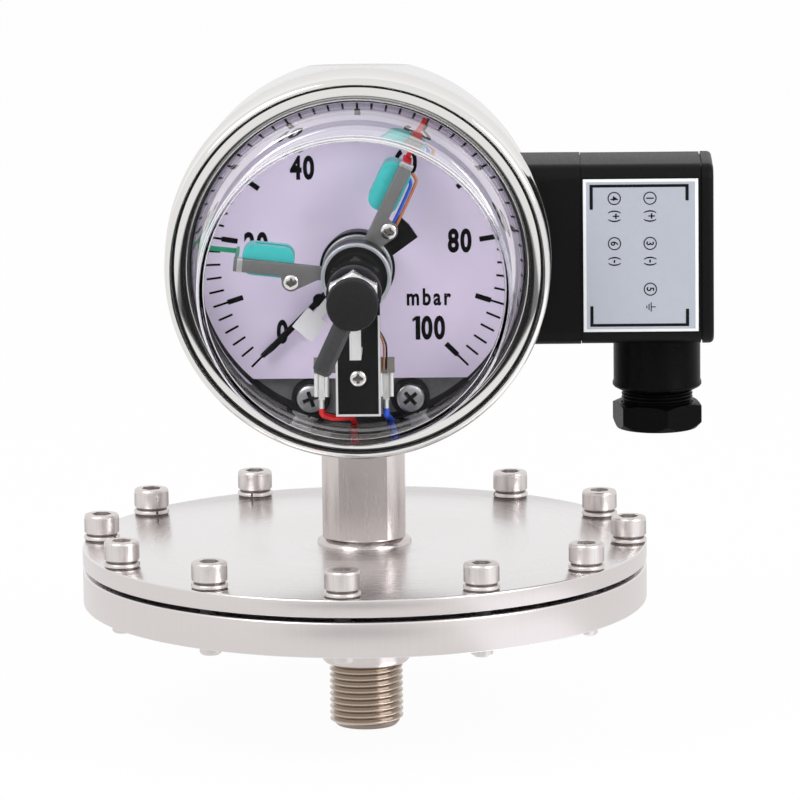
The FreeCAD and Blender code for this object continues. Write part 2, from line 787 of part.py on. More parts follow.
def build_case():
    """Deep drawn case with a flat on top, the bezel, the raised window and its gasket."""
    radius = CASE_RADIUS
    flat = f"{radius} - case_flat_depth"
    cup = drum("case_cup", radius, flat, "0 - case_back", "case_round")
    inside = drum("case_inside", f"{radius} - case_wall", f"{flat} - case_wall", "case_wall - case_back",
                  "case_round - case_wall")
    neck = rod("case_stem_hole", "stem_collar / 2 + fit_clearance", FLANGE_TOP, HEAD,
               ("0", "0", "0"), ALONG_Z)
    wires = rod("case_wire_hole", "wire_bore / 2", "0", "case_diameter", ("0", CONNECTOR_Y, HEAD), ALONG_X)
    room = combine("MultiFuse", "case_room", inside, neck, wires)
    keep(combine("Cut", "case", cup, room))

    bore = f"({radius} + bezel_clearance)"
    skirt = f"({bore} + bezel_wall)"
    lip = f"{WINDOW_BASE} + lip_gap"
    crest = f"({LIP_FRONT} + front_bead)"
    bezel = turned("bezel", [
        (bore, "bezel_rear"),
        (f"{skirt} + rear_bead", "bezel_rear"),
        (f"{skirt} + rear_bead", "bezel_rear + rear_bead_width"),
        (skirt, "bezel_rear + rear_bead_width + rear_bead"),
        (skirt, f"{crest} - front_bead"),
        (f"{skirt} - 0.3 * front_bead", f"{crest} - 0.3 * front_bead"),
        (f"{skirt} - front_bead_width / 2", crest),
        (f"{skirt} - front_bead_width", f"{crest} - 0.3 * front_bead"),
        (f"{skirt} - front_bead_width - 0.6 * front_bead", LIP_FRONT),
        (f"{skirt} - front_bead_width - 0.9 * front_bead", f"{LIP_FRONT} + 0.1 * front_bead"),
        (lip, f"{LIP_FRONT} - 0.3 * lip_thickness"),
        (lip, LIP_BACK),
        (bore, LIP_BACK),
    ])
    keep(on_dial(bezel))

    base = WINDOW_BASE
    nose = WINDOW_NOSE
    window = turned("window", [
        ("lock_tube / 2 + fit_clearance", "window_reach"),
        (nose, "window_reach"),
        (base, WINDOW_SEAT),
        (WINDOW_FLANGE, WINDOW_SEAT),
        (WINDOW_FLANGE, "case_front"),
        (f"{base} - window_wall", "case_front"),
        (f"{nose} - window_wall", "window_reach - window_wall"),
        ("lock_tube / 2 + fit_clearance", "window_reach - window_wall"),
    ])
    round_edges(window, ring_edge(read(WINDOW_NOSE), size("window_reach")), "window_round")
    keep(on_dial(window))

    gasket = turned("window_gasket", [
        (f"{base} + hole_clearance", WINDOW_SEAT),
        (WINDOW_FLANGE, WINDOW_SEAT),
        (WINDOW_FLANGE, LIP_BACK),
        (f"{base} + hole_clearance", LIP_BACK),
    ])
    keep(on_dial(gasket))


# Middle of the connector's depth, in the part's frame
CONNECTOR_Y = "(connector_depth / 2 - connector_front)"
CONNECTOR_SPLIT = f"({CASE_RADIUS} + connector_reach)"
CONNECTOR_END = f"({CONNECTOR_SPLIT} + connector_length)"
ADAPTER_ROOT = f"({CASE_RADIUS} - adapter_sink)"
INSERT_LEFT = f"({CONNECTOR_SPLIT} + insert_offset)"


def build_dial():
    """Socket block on the stem, base plate with dial posts, its grommets and screws, and the dial."""
    slab = box("block_slab", ("0 - block_width / 2", "0 - plate_back", f"{HEAD} - block_bottom"),
               ("block_width / 2", "block_back", f"{HEAD} - block_top"))
    apron = box("block_apron", (f"0 - {APRON_EDGE}", "0 - plate_back", f"{HEAD} - {APRON_DROP}"),
                (APRON_EDGE, "apron_thickness - plate_back", f"{HEAD} - block_top"))
    solid = combine("MultiFuse", "block_solid", slab, apron)
    bore = rod("block_rod_hole", "stem_bore / 2", f"{HEAD} - block_bottom", f"{HEAD} - block_top",
               ("0", "0", "0"), ALONG_Z)
    cuts = [bore]
    for side, sign in (("left", "0 - "), ("right", "")):
        place = (f"{sign}{PLATE_SCREW_SPREAD}", "0", f"{HEAD} - {PLATE_SCREW_DROP}")
        cuts.append(rod(f"block_{side}_hole", "plate_screw_diameter / 2 + fit_clearance",
                        "plate_back - plate_screw_length", "plate_back", place, TOWARDS_VIEWER))
    holes = combine("MultiFuse", "block_holes", *cuts)
    keep(combine("Cut", "socket_block", solid, holes))

    screw_places = [(f"{sign}{PLATE_SCREW_SPREAD}", f"0 - {PLATE_SCREW_DROP}") for sign in ("0 - ", "")]
    plate = new_body("base_plate")
    pad(plate, "plate_back", "plate_thickness", circles=[
        ("0", "0", PLATE_RADIUS),
        ("0", "0", "dial_hole / 2"),
        *[(x, y, "plate_screw_diameter / 2 + hole_clearance") for x, y in screw_places],
    ])
    for clock in (0, 100, 260):
        reach = f"({DIAL_RADIUS} - dial_post_inset)"
        place = (f"{reach} * sin({clock})", f"{reach} * cos({clock})")
        pad(plate, PLATE_FACE, "dial_gap", circles=[(*place, "dial_post / 2")])
    keep(on_dial(plate))

    dial = new_body("dial")
    sketch = new_sketch(dial, "XY_Plane", DIAL_BACK)
    draw_chord_disc(sketch, DIAL_RADIUS, f"-({DIAL_RADIUS} - dial_cut_depth)")
    draw_circle(sketch, "0", "0", "dial_hole / 2")
    add_feature(dial, "Pad", sketch, Length="dial_thickness")
    keep(on_dial(dial))

    head = "plate_screw_head / 2"
    shank = "plate_screw_diameter / 2"
    seat = f"({PLATE_FACE} + grommet_thickness)"
    grommet = turned("single_grommet", [
        (f"{shank} + hole_clearance", PLATE_FACE),
        ("grommet_diameter / 2", PLATE_FACE),
        ("grommet_diameter / 2", seat),
        (f"{shank} + hole_clearance", seat),
    ])
    screw = turned("single_plate_screw", [
        ("0", "plate_back - plate_screw_length"),
        (shank, "plate_back - plate_screw_length"),
        (shank, seat),
        (head, seat),
        (head, f"{seat} + plate_screw_height / 2"),
        (f"{head} - plate_screw_height / 2", f"{seat} + plate_screw_height"),
        ("0", f"{seat} + plate_screw_height"),
    ])
    for name, single in (("plate_grommets", grommet), ("plate_screws", screw)):
        copies = []
        for sign in (-1, 1):
            copy = single.Shape.copy()
            copy.translate(FreeCAD.Vector(sign * read(PLATE_SCREW_SPREAD), -read(PLATE_SCREW_DROP), 0))
            copies.append(copy)
        group = doc.addObject("Part::Feature", name)
        group.Shape = Part.makeCompound(copies)
        keep(on_dial(group))


def clock_point(radius, clock):
    """Point at a radius and a clock angle, in degrees from the top."""
    turn = math.radians(clock)
    return FreeCAD.Vector(radius * math.sin(turn), radius * math.cos(turn), 0)


def tooth_points(pitch_radius, module, clock, pitch_angle):
    """Outline of one gear tooth about a clock angle, root to root, narrower than the space that it enters."""
    points = []
    for height, share in ((-1.2, -0.26), (0.0, -0.2), (0.8, -0.1), (0.8, 0.1), (0.0, 0.2), (-1.2, 0.26)):
        points.append(clock_point(pitch_radius + height * module, clock + share * pitch_angle))
    return points


def extruded(points, thickness):
    """Plate through an outline, from the level of its points."""
    face = Part.Face(Part.makePolygon([*points, points[0]]))
    return face.extrude(FreeCAD.Vector(0, 0, thickness))


def disc(radius, start, length, place):
    """Cylinder along the dial's axis at a place on the dial."""
    base = FreeCAD.Vector(place.x, place.y, start)
    return Part.makeCylinder(radius, length, base)


def build_movement():
    """Movement behind the dial: two plates on pillars, the sector gear and the arbor with its pinion."""
    for name, back in (("movement_rear_plate", "0 - movement_rear"),
                       ("movement_front_plate", "movement_front - movement_plate")):
        plate = new_body(name)
        half = "movement_width / 2"
        outline = rectangle(f"0 - {half}", half, "0 - block_top", "movement_top")
        pad(plate, back, "movement_plate", polygons=[outline],
            circles=[
                ("0", "0", "arbor_diameter / 2 + fit_clearance"),
                ("0 - lever_arm", f"0 - {STAFF_DROP}", "staff_diameter / 2 + fit_clearance"),
            ])
        keep(on_dial(plate))

    pillars = new_body("single_pillar")
    inner_back = "movement_plate - movement_rear"
    pillar_length = "movement_rear + movement_front - 2 * movement_plate"
    pad(pillars, inner_back, pillar_length, circles=[("0", "0", "pillar_diameter / 2")])
    copies = []
    for across in (-size("pillar_spread"), size("pillar_spread")):
        for along in (size("pillar_high"), -size("pillar_low")):
            copy = pillars.Shape.copy()
            copy.translate(FreeCAD.Vector(across, along, 0))
            copies.append(copy)
    group = doc.addObject("Part::Feature", "movement_pillars")
    group.Shape = Part.makeCompound(copies)
    keep(on_dial(group))

    module = size("gear_module")
    teeth = size("pinion_teeth")
    pinion_radius = module * teeth / 2
    sector_radius = pinion_radius * size("gear_ratio")
    sector_pitch = 360 / (teeth * size("gear_ratio"))
    drop = math.sqrt((pinion_radius + sector_radius) ** 2 - size("lever_arm") ** 2)
    staff = FreeCAD.Vector(-size("lever_arm"), -drop, 0)
    centre_line = math.degrees(math.atan2(size("lever_arm"), drop))
    lift = FreeCAD.Vector(0, 0, size("gear_back"))

    outline = []
    teeth_before = 2
    teeth_after = math.ceil(size("pointer_sweep") / size("gear_ratio") / sector_pitch) + teeth_before
    for index in range(-teeth_before, teeth_after + 1):
        outline += tooth_points(sector_radius, module, centre_line + index * sector_pitch, sector_pitch)
    waist = 2 * size("staff_diameter")
    hub_radius = 0.7 * size("staff_diameter")
    outline.append(clock_point(waist, centre_line + 70))
    outline.append(clock_point(hub_radius, centre_line + 170))
    outline.append(clock_point(waist, centre_line - 70))
    web = extruded([point + staff + lift for point in outline], size("gear_width"))
    half_swing = size("pointer_sweep") / size("gear_ratio") / 2
    lever_end = staff + clock_point(size("lever_arm"), 90 + half_swing)
    start = size("gear_back")
    width = size("gear_width")
    lever = disc(size("lever_round"), start, width, lever_end)
    hub = disc(hub_radius, start, width, staff)
    axle_back = -size("movement_rear")
    axle_length = size("movement_rear") + size("movement_front")
    axle = disc(size("staff_diameter") / 2, axle_back, axle_length, staff)
    sector = doc.addObject("Part::Feature", "sector_gear")
    sector.Shape = web.multiFuse([lever, hub, axle]).removeSplitter()
    keep(on_dial(sector))

    leaves = []
    pinion_pitch = 360 / teeth
    for index in range(int(teeth)):
        clock = centre_line + 180 + (index + 0.5) * pinion_pitch
        leaves += tooth_points(pinion_radius, module, clock, pinion_pitch)
    pinion = extruded([point + lift for point in leaves], width)
    plate_face = size("plate_back") + size("plate_thickness") + size("dial_gap") + size("dial_thickness")
    disc_back = plate_face + size("pointer_gap") + size("pointer_thickness") + size("disc_gap")
    arbor_front = disc_back + size("disc_thickness")
    axis = FreeCAD.Vector(0, 0, 0)
    leaf_root = pinion_radius - 1.2 * module
    rear = disc(size("arbor_diameter") / 2, axle_back, start - axle_back, axis)
    front = disc(size("arbor_diameter") / 2, start + width, arbor_front - start - width, axis)
    core = disc(leaf_root, axle_back, arbor_front - axle_back, axis)
    arbor = doc.addObject("Part::Feature", "pointer_arbor")
    arbor.Shape = pinion.multiFuse([rear, front, core]).removeSplitter()
    keep(on_dial(arbor))


def build_pointer():
    """Pointer at zero, the driver disc in front of it, and the vane that enters the high sensor's slot."""
    zero = "0 - pointer_sweep / 2"
    half = "pointer_width / 2"
    arbor = "arbor_diameter / 2 + fit_clearance"
    pointer = new_body("pointer")
    pad(pointer, POINTER_BACK, "pointer_thickness", polygons=[[
        (f"0 - {half}", "0 - pointer_tail"),
        (half, "0 - pointer_tail"),
        (half, "pointer_length - 2 * pointer_width"),
        ("0.2 * pointer_width", "pointer_length"),
        ("0 - 0.2 * pointer_width", "pointer_length"),
        (f"0 - {half}", "pointer_length - 2 * pointer_width"),
    ]])
    pad(pointer, POINTER_BACK, "pointer_thickness", circles=[("0", "0", "pointer_hub / 2")])
    pad(pointer, POINTER_BACK, "pointer_thickness", circles=[("0", "pointer_lobe_reach", "pointer_lobe / 2")])
    cut_down(pointer, f"{POINTER_BACK} + pointer_thickness", "pointer_thickness", circles=[("0", "0", arbor)])
    keep(on_dial(pointer, zero))

    driver = new_body("driver_disc")
    pad(driver, DISC_BACK, "disc_thickness", circles=[("0", "0", "hub_diameter / 2"), ("0", "0", arbor)])
    keep(on_dial(driver))

    flag_half = "vane_size / 2"
    neck = "vane_neck / 2"
    vane = new_body("vane")
    pad(vane, DISC_FACE, "vane_gap", polygons=[
        rectangle(f"0 - {neck}", neck, "vane_foot", "vane_foot + vane_thickness"),
    ])
    pad(vane, VANE_BACK, "vane_thickness", polygons=[[
        (f"0 - {neck}", "vane_foot"),
        (neck, "vane_foot"),
        (neck, f"vane_reach - {flag_half}"),
        (flag_half, f"vane_reach - {flag_half}"),
        (flag_half, f"vane_reach + {flag_half}"),
        (f"0 - {flag_half}", f"vane_reach + {flag_half}"),
        (f"0 - {flag_half}", f"vane_reach - {flag_half}"),
        (f"0 - {neck}", f"vane_reach - {flag_half}"),
    ]])
    keep(on_dial(vane, f"{zero} - vane_lag"))


def build_bracket():
    """Bracket that carries the contact unit's spindle, with its face plate, screw, terminals and strip."""
    half = "bracket_width / 2"
    foot = "bracket_foot_width / 2"
    spindle = "spindle_diameter / 2"
    bracket = new_body("contact_bracket")
    pad(bracket, BRACKET_BACK, "bracket_thickness",
        polygons=[rectangle(f"0 - {half}", half, f"0 - {BRACKET_DROP}", "0")])
    pad(bracket, BRACKET_BACK, "bracket_thickness", circles=[("0", "0", half)])
    pad(bracket, PLATE_FACE, f"{BRACKET_BACK} - {PLATE_FACE}", polygons=[
        rectangle(f"0 - {foot}", foot, f"0 - {BRACKET_DROP}", f"bracket_foot - {BRACKET_DROP}"),
    ])
    cut_down(bracket, BRACKET_FACE, "bracket_thickness", circles=[("0", "0", f"{spindle} + fit_clearance")])
    cut_down(bracket, BRACKET_FACE, "bracket_thickness",
             circles=[("0", "0 - bracket_screw_drop", "arm_screw_diameter / 2")])
    keep(on_dial(bracket))

    face_plate = new_body("bracket_face_plate")
    pad(face_plate, BRACKET_FACE, "face_plate_thickness",
        polygons=[rectangle(f"0 - {half}", half, f"0 - {BRACKET_DROP}", "0 - face_plate_top")],
        circles=[("0", "0 - bracket_screw_drop", "arm_screw_diameter / 2")])
    keep(on_dial(face_plate))

    head = "bracket_screw_head / 2"
    seat = f"({BRACKET_FACE} + face_plate_thickness)"
    screw = new_body("bracket_screw")
    pad(screw, BRACKET_BACK, f"{seat} - {BRACKET_BACK}",
        circles=[("0", "0 - bracket_screw_drop", "arm_screw_diameter / 2")])
    pad(screw, seat, "bracket_screw_height", circles=[("0", "0 - bracket_screw_drop", head)])
    keep(on_dial(screw))

    strip_low = "(0 - strip_top - strip_height)"
    strip = new_body("terminal_strip")
    pad(strip, f"{BRACKET_BACK} - strip_thickness", "strip_thickness",
        polygons=[rectangle("0 - strip_left", "strip_right", strip_low, "0 - strip_top")])
    keep(on_dial(strip))

    terminal_back = f"({BRACKET_BACK} - strip_thickness / 2 - tab_thickness / 2)"
    singles = []
    for side in ("left", "right"):
        middle = f"{side}_tab"
        terminal = new_body(f"{side}_terminal")
        tab = (f"{middle} - tab_width / 2", f"{middle} + tab_width / 2")
        barrel = (f"{middle} - crimp_width / 2", f"{middle} + crimp_width / 2")
        tab_low = f"{strip_low} - tab_length"
        pad(terminal, terminal_back, "tab_thickness", polygons=[rectangle(*tab, tab_low, strip_low)])
        pad(terminal, terminal_back, "tab_thickness",
            polygons=[rectangle(*barrel, f"{tab_low} - crimp_length", tab_low)])
        singles.append(terminal.Shape.copy())
    terminals = doc.addObject("Part::Feature", "terminals")
    terminals.Shape = Part.makeCompound(singles)
    keep(on_dial(terminals))

    spindle_body = turned("hub_spindle", [
        ("0", f"{HIGH_HUB_BACK} - spindle_head_height"),
        ("spindle_head / 2", f"{HIGH_HUB_BACK} - spindle_head_height"),
        ("spindle_head / 2", HIGH_HUB_BACK),
        (spindle, HIGH_HUB_BACK),
        (spindle, LOW_RIM_FACE),
        ("spindle_head / 2", LOW_RIM_FACE),
        ("spindle_head / 2", f"{LOW_RIM_FACE} + spindle_head_height"),
        ("0", f"{LOW_RIM_FACE} + spindle_head_height"),
    ])
    keep(on_dial(spindle_body))


def build_limit(side, hub_back, hub_length, arm_back, ear_side):
    """One limit arm: hub, arm with an ear, slot sensor, set pointer and ear screw."""
    clock = f"{side}_angle"
    reach = f"{side}_reach"
    bore = "spindle_diameter / 2 + fit_clearance"
    hub = new_body(f"{side}_hub")
    pad(hub, hub_back, hub_length, circles=[("0", "0", "hub_diameter / 2"), ("0", "0", bore)])
    keep(on_dial(hub, clock))

    half = "arm_width / 2"
    ear = (f"{ear_side} * ear_offset", f"{side}_ear_reach")
    arm = new_body(f"{side}_arm")
    pad(arm, arm_back, "arm_thickness", circles=[("0", "0", "hub_diameter / 2")])
    pad(arm, arm_back, "arm_thickness", polygons=[rectangle(f"0 - {half}", half, "0", reach)])
    web = [
        ("0", f"{ear[1]} - 2 * ear_diameter"),
        (f"{ear[0]} + {ear_side} * ear_diameter * 0.35", f"{ear[1]} - ear_diameter * 0.35"),
        (f"{ear[0]} + {ear_side} * ear_diameter * 0.3", f"{ear[1]} + ear_diameter * 0.4"),
        ("0", f"{ear[1]} + ear_diameter * 0.7"),
    ]
    pad(arm, arm_back, "arm_thickness", polygons=[web])
    pad(arm, arm_back, "arm_thickness", circles=[(*ear, "ear_diameter / 2")])
    arm_face = f"({arm_back} + arm_thickness)"
    cut_down(arm, arm_face, "arm_thickness", circles=[("0", "0", bore), (*ear, "arm_screw_diameter / 2")])
    keep(on_dial(arm, clock))

    depth = f"{side}_sensor_depth"
    shift = f"(0 - {ear_side}) * sensor_shift"
    left = f"{shift} - sensor_width / 2"
    right = f"{shift} + sensor_width / 2"
    outer = "(sensor_inner + sensor_length)"
    sensor = new_body(f"{side}_sensor")
    pad(sensor, f"{arm_back} - {depth}", depth, polygons=[rectangle(left, right, "sensor_inner", outer)])
    round_edges(sensor, long_edge(FreeCAD.Vector(0, 0, 1)), "sensor_round")
    slot = rectangle(f"{left} - sensor_round", f"{right} + sensor_round",
                     "sensor_inner - sensor_round", f"{outer} - sensor_slot_end")
    cut_down(sensor, f"{arm_back} - {depth} / 2 + sensor_slot / 2", "sensor_slot", polygons=[slot])
    keep(on_dial(sensor, clock))

    tip_back = f"{side}_tip_depth"
    leg = "tip_leg_width / 2"
    leg_inner = f"({reach} - tip_thickness)"
    pointer = new_body(f"{side}_set_pointer")
    outline = rectangle(f"0 - {leg}", leg, leg_inner, reach)
    pad(pointer, tip_back, f"{arm_back} - {tip_back}", polygons=[outline])
    pad(pointer, tip_back, "tip_thickness", polygons=[
        rectangle("0 - tip_width / 2", "tip_width / 2", leg_inner, f"{side}_tip_reach"),
    ])
    keep(on_dial(pointer, clock))

    screw = new_body(f"{side}_arm_screw")
    pad(screw, arm_back, "arm_thickness", circles=[(*ear, "arm_screw_diameter / 2")])
    pad(screw, arm_face, "arm_screw_height", circles=[(*ear, "arm_screw_head / 2")])
    keep(on_dial(screw, clock))


def build_contact_unit():
    """Low limit arm in front of the bracket, high limit arm behind it, with their rims, cap and guard."""
    build_limit("low", LOW_HUB_BACK, "low_hub_length", LOW_ARM_BACK, "-1")
    build_limit("high", HIGH_HUB_BACK, "high_hub_length - rim_height", HIGH_ARM_BACK, "1")

    inner = "rim_diameter / 2 - rim_width"
    bore = "spindle_diameter / 2 + fit_clearance"
    rims = (("low", LOW_ARM_FACE), ("high", f"{HIGH_ARM_BACK} - rim_height"))
    for side, back in rims:
        rim = new_body(f"{side}_rim")
        pad(rim, back, "rim_height", circles=[("0", "0", "rim_diameter / 2"), ("0", "0", inner)])
        keep(on_dial(rim, f"{side}_angle"))

    cap = new_body("low_cap")
    pad(cap, LOW_ARM_FACE, "rim_height - spindle_head_height", circles=[("0", "0", inner), ("0", "0", bore)])
    keep(on_dial(cap, "low_angle"))
    boss = pad(doc.getObject("high_hub"), f"{HIGH_ARM_BACK} - rim_height", "rim_height",
               circles=[("0", "0", f"{inner} - fit_clearance"), ("0", "0", bore)])
    doc.getObject("high_hub").Tip = boss

    guard = new_body("high_guard")
    guard_back = f"{HIGH_ARM_BACK} - rim_height - guard_thickness"
    root = "hub_diameter / 2 + guard_ring"
    corners = []
    places = [(f"{root} / 2", "guard_start"), (root, "guard_start"), ("guard_radius", "guard_start"),
              ("guard_radius", "(guard_start + guard_end) / 2"), ("guard_radius", "guard_end"),
              (root, "guard_root"), (f"{root} / 2", "guard_root")]
    for radius, clock in places:
        corners.append((f"({radius}) * sin({clock})", f"({radius}) * cos({clock})"))
    pad(guard, guard_back, "guard_thickness", polygons=[corners])
    pad(guard, guard_back, "guard_thickness", circles=[("0", "0", root)])
    cut_down(guard, f"{guard_back} + guard_thickness", "guard_thickness",
             circles=[("0", "0", "hub_diameter / 2 + fit_clearance")])
    keep(on_dial(guard, "high_angle"))


def build_adjuster():
    """Lock bush through the window with its collar and nut, and the knob that turns the driver arm inside."""
    tube = "lock_tube / 2"
    bore = "lock_bore / 2"
    collar = new_body("lock_collar")
    pad(collar, "window_reach", "lock_collar_length", circles=[
        ("0", "0", "lock_collar_diameter / 2"),
        ("0", "0", f"{tube} + fit_clearance"),
    ])
    keep(on_dial(collar))

    bush = new_body("lock_bush")
    pad(bush, LOCK_HEX_BACK, "lock_hex_length", polygons=[hexagon("lock_hex")], circles=[("0", "0", bore)])
    rings = [("0", "0", tube), ("0", "0", bore)]
    pad(bush, LOCK_NUT_BACK, f"{LOCK_HEX_BACK} - {LOCK_NUT_BACK}", circles=rings)
    keep(on_dial(bush))

    nut = new_body("lock_nut")
    pad(nut, LOCK_NUT_BACK, "lock_nut_length", polygons=[hexagon("lock_nut_diameter")],
        circles=[("0", "0", f"{tube} + fit_clearance")])
    keep(on_dial(nut))

    spindle = "knob_spindle / 2"
    neck = "knob_neck_diameter / 2"
    grip = "knob_diameter / 2"
    front = f"({KNOB_BACK} + knob_length)"
    knob = turned("knob", [
        ("0", DRIVER_BACK),
        (spindle, DRIVER_BACK),
        (spindle, KNOB_NECK_BACK),
        (neck, KNOB_NECK_BACK),
        (neck, KNOB_BACK),
        (grip, KNOB_BACK),
        (grip, f"{front} - knob_round"),
        (f"{grip} - knob_round", front),
        ("0", front),
    ])
    half = "lever_width / 2"
    lever_start = f"{KNOB_BACK} + knob_length / 2 - lever_thickness / 2"
    pad(knob, lever_start, "lever_thickness", polygons=[rectangle(f"0 - {half}", half, "0", "lever_length")])
    keep(on_dial(knob, "lever_angle"))

    strip = "driver_width / 2"
    driver = new_body("driver_arm")
    outline = rectangle(f"0 - {strip}", strip, "0", "driver_reach")
    pad(driver, DRIVER_BACK, "driver_thickness", polygons=[outline])
    pad(driver, DRIVER_BACK, "driver_thickness", circles=[("0", "0", "lock_nut_diameter / 3")])
    pad(driver, f"{DRIVER_BACK} - driver_catch", "driver_catch", polygons=[
        rectangle(f"0 - {strip}", strip, "driver_reach - driver_thickness", "driver_reach"),
    ])
    cut_down(driver, DRIVER_FACE, "driver_thickness", circles=[("0", "0", f"{spindle} + fit_clearance")])
    keep(on_dial(driver, "180"))


def build_connector():
    """Plug connector on the case's side: adapter, housing with its gland neck, cover, seal and cap nut."""
    front = "0 - connector_front"
    back = "connector_depth - connector_front"
    bottom = f"{HEAD} - connector_half_height"
    top = f"{HEAD} + connector_half_height"
    block = box("adapter_block", (ADAPTER_ROOT, front, bottom), (CONNECTOR_SPLIT, back, top))
    axis_point = ("0", "0", HEAD)
    case_room = rod("adapter_case_room", "case_diameter / 2 + fit_clearance", "0 - case_diameter",
                    "case_diameter", axis_point, TOWARDS_VIEWER)
    wires = rod("adapter_wire_bore", "wire_bore / 2", "0", CONNECTOR_SPLIT,
                ("0", CONNECTOR_Y, HEAD), ALONG_X)
    room = combine("MultiFuse", "adapter_room", case_room, wires)
    keep(combine("Cut", "connector_adapter", block, room))

    wall = "connector_wall"
    shell = box("housing_block", (CONNECTOR_SPLIT, front, bottom), (CONNECTOR_END, back, top))
    rounded = doc.addObject("Part::Fillet", "housing_rounded")
    rounded.Base = shell
    doc.recompute()
    radius = size("connector_round")
    along_x = long_edge(FreeCAD.Vector(1, 0, 0))
    edges = [index for index, edge in enumerate(shell.Shape.Edges, start=1) if along_x(edge)]
    rounded.Edges = [(index, radius, radius) for index in edges]
    gland_axis = (f"{CONNECTOR_SPLIT} + gland_offset", CONNECTOR_Y, "0")
    gland_bottom = f"({bottom} - gland_length)"
    neck_bottom = f"({gland_bottom} - gland_neck_length)"
    barrel = rod("gland_barrel", "gland_diameter / 2", gland_bottom, f"{bottom} + {wall}",
                 gland_axis, ALONG_Z)
    neck = rod("gland_neck", "gland_neck_diameter / 2", neck_bottom, gland_bottom, gland_axis, ALONG_Z)
    solid = combine("MultiFuse", "housing_solid", rounded, barrel, neck)
    cavity = box("housing_cavity", (f"{CONNECTOR_SPLIT} + {wall}", f"{front} + {wall}", f"{bottom} + {wall}"),
                 (CONNECTOR_END, f"{back} - {wall}", f"{top} - {wall}"))
    wires = rod("housing_wire_bore", "wire_bore / 2", CONNECTOR_SPLIT, f"{CONNECTOR_SPLIT} + 2 * {wall}",
                ("0", CONNECTOR_Y, HEAD), ALONG_X)
    gland_bore = rod("gland_bore_tool", "gland_bore / 2", neck_bottom, f"{bottom} + 2 * {wall}",
                     gland_axis, ALONG_Z)
    hollow = combine("MultiFuse", "housing_hollow", cavity, wires, gland_bore)
    keep(combine("Cut", "connector_housing", solid, hollow))

    lid = box("cover_block", (CONNECTOR_END, front, bottom),
              (f"{CONNECTOR_END} + cover_thickness", back, top))
    cover = doc.addObject("Part::Fillet", "connector_cover")
    cover.Base = lid
    doc.recompute()
    end = read(CONNECTOR_END)
    edges = []
    for index, edge in enumerate(lid.Shape.Edges, start=1):
        if edge.BoundBox.XMin > end + 0.01 or along_x(edge):
            edges.append(index)
    soft = size("cover_thickness") - 0.6
    cover.Edges = [(index, soft, soft) for index in edges]
    keep(cover)

    nut = new_body("gland_nut")
    nut_hole = ("0", "0", "gland_nut_hole / 2")
    neck_room = ("0", "0", "gland_neck_diameter / 2 + fit_clearance")
    sleeve_length = "gland_nut_length - gland_nut_floor"
    pad(nut, f"{neck_bottom} - gland_nut_floor", "gland_nut_floor",
        polygons=[hexagon("gland_nut")], circles=[nut_hole])
    pad(nut, neck_bottom, sleeve_length, polygons=[hexagon("gland_nut")], circles=[neck_room])
    base = "; ".join(bound(formula) for formula in gland_axis)
    nut.setExpression("Placement", f"placement(vector({base}); {ALONG_Z})")
    keep(nut)

    seal_top = f"{gland_bottom} + gland_seal_rise"
    seal = rod("gland_seal_body", "gland_bore / 2", neck_bottom, seal_top, gland_axis, ALONG_Z)
    seal_bore = rod("gland_seal_bore_tool", "gland_seal_bore / 2", neck_bottom, seal_top, gland_axis, ALONG_Z)
    keep(combine("Cut", "gland_seal", seal, seal_bore))

    insert = box("contact_insert",
                 (INSERT_LEFT, f"{back} - {wall} - insert_depth", f"{HEAD} - insert_height / 2"),
                 (f"{INSERT_LEFT} + insert_length", f"{back} - {wall}", f"{HEAD} + insert_height / 2"))
    keep(insert)


def lead_shape(points, radius):
    """Round lead through points: straight runs joined by tangent arcs. Also gives its tightest bend."""
    edges = []
    tightest = math.inf
    start = points[0]
    for before, corner, after in zip(points, points[1:], points[2:]):
        arriving = (corner - before).normalize()
        leaving = (after - corner).normalize()
        half_turn = arriving.getAngle(leaving) / 2
        reach = 0.45 * min((corner - before).Length, (after - corner).Length)
        bend = reach / math.tan(half_turn)
        tightest = min(tightest, bend)
        inward = (leaving - arriving).normalize()
        middle = corner + inward * (bend / math.cos(half_turn) - bend)
        arc_start = corner - arriving * reach
        arc_end = corner + leaving * reach
        edges.append(Part.LineSegment(start, arc_start).toShape())
        edges.append(Part.Arc(arc_start, middle, arc_end).toShape())
        start = arc_end
    edges.append(Part.LineSegment(start, points[-1]).toShape())
    direction = points[1] - points[0]
    section = Part.Wire([Part.Circle(points[0], direction, radius).toShape()])
    return Part.Wire(edges).makePipeShell([section], True, True), tightest


def around(radius, clock, depth):
    """Point at a radius and a clock angle, at a depth along the dial's axis."""
    place = clock_point(radius, clock)
    return FreeCAD.Vector(place.x, place.y, depth)


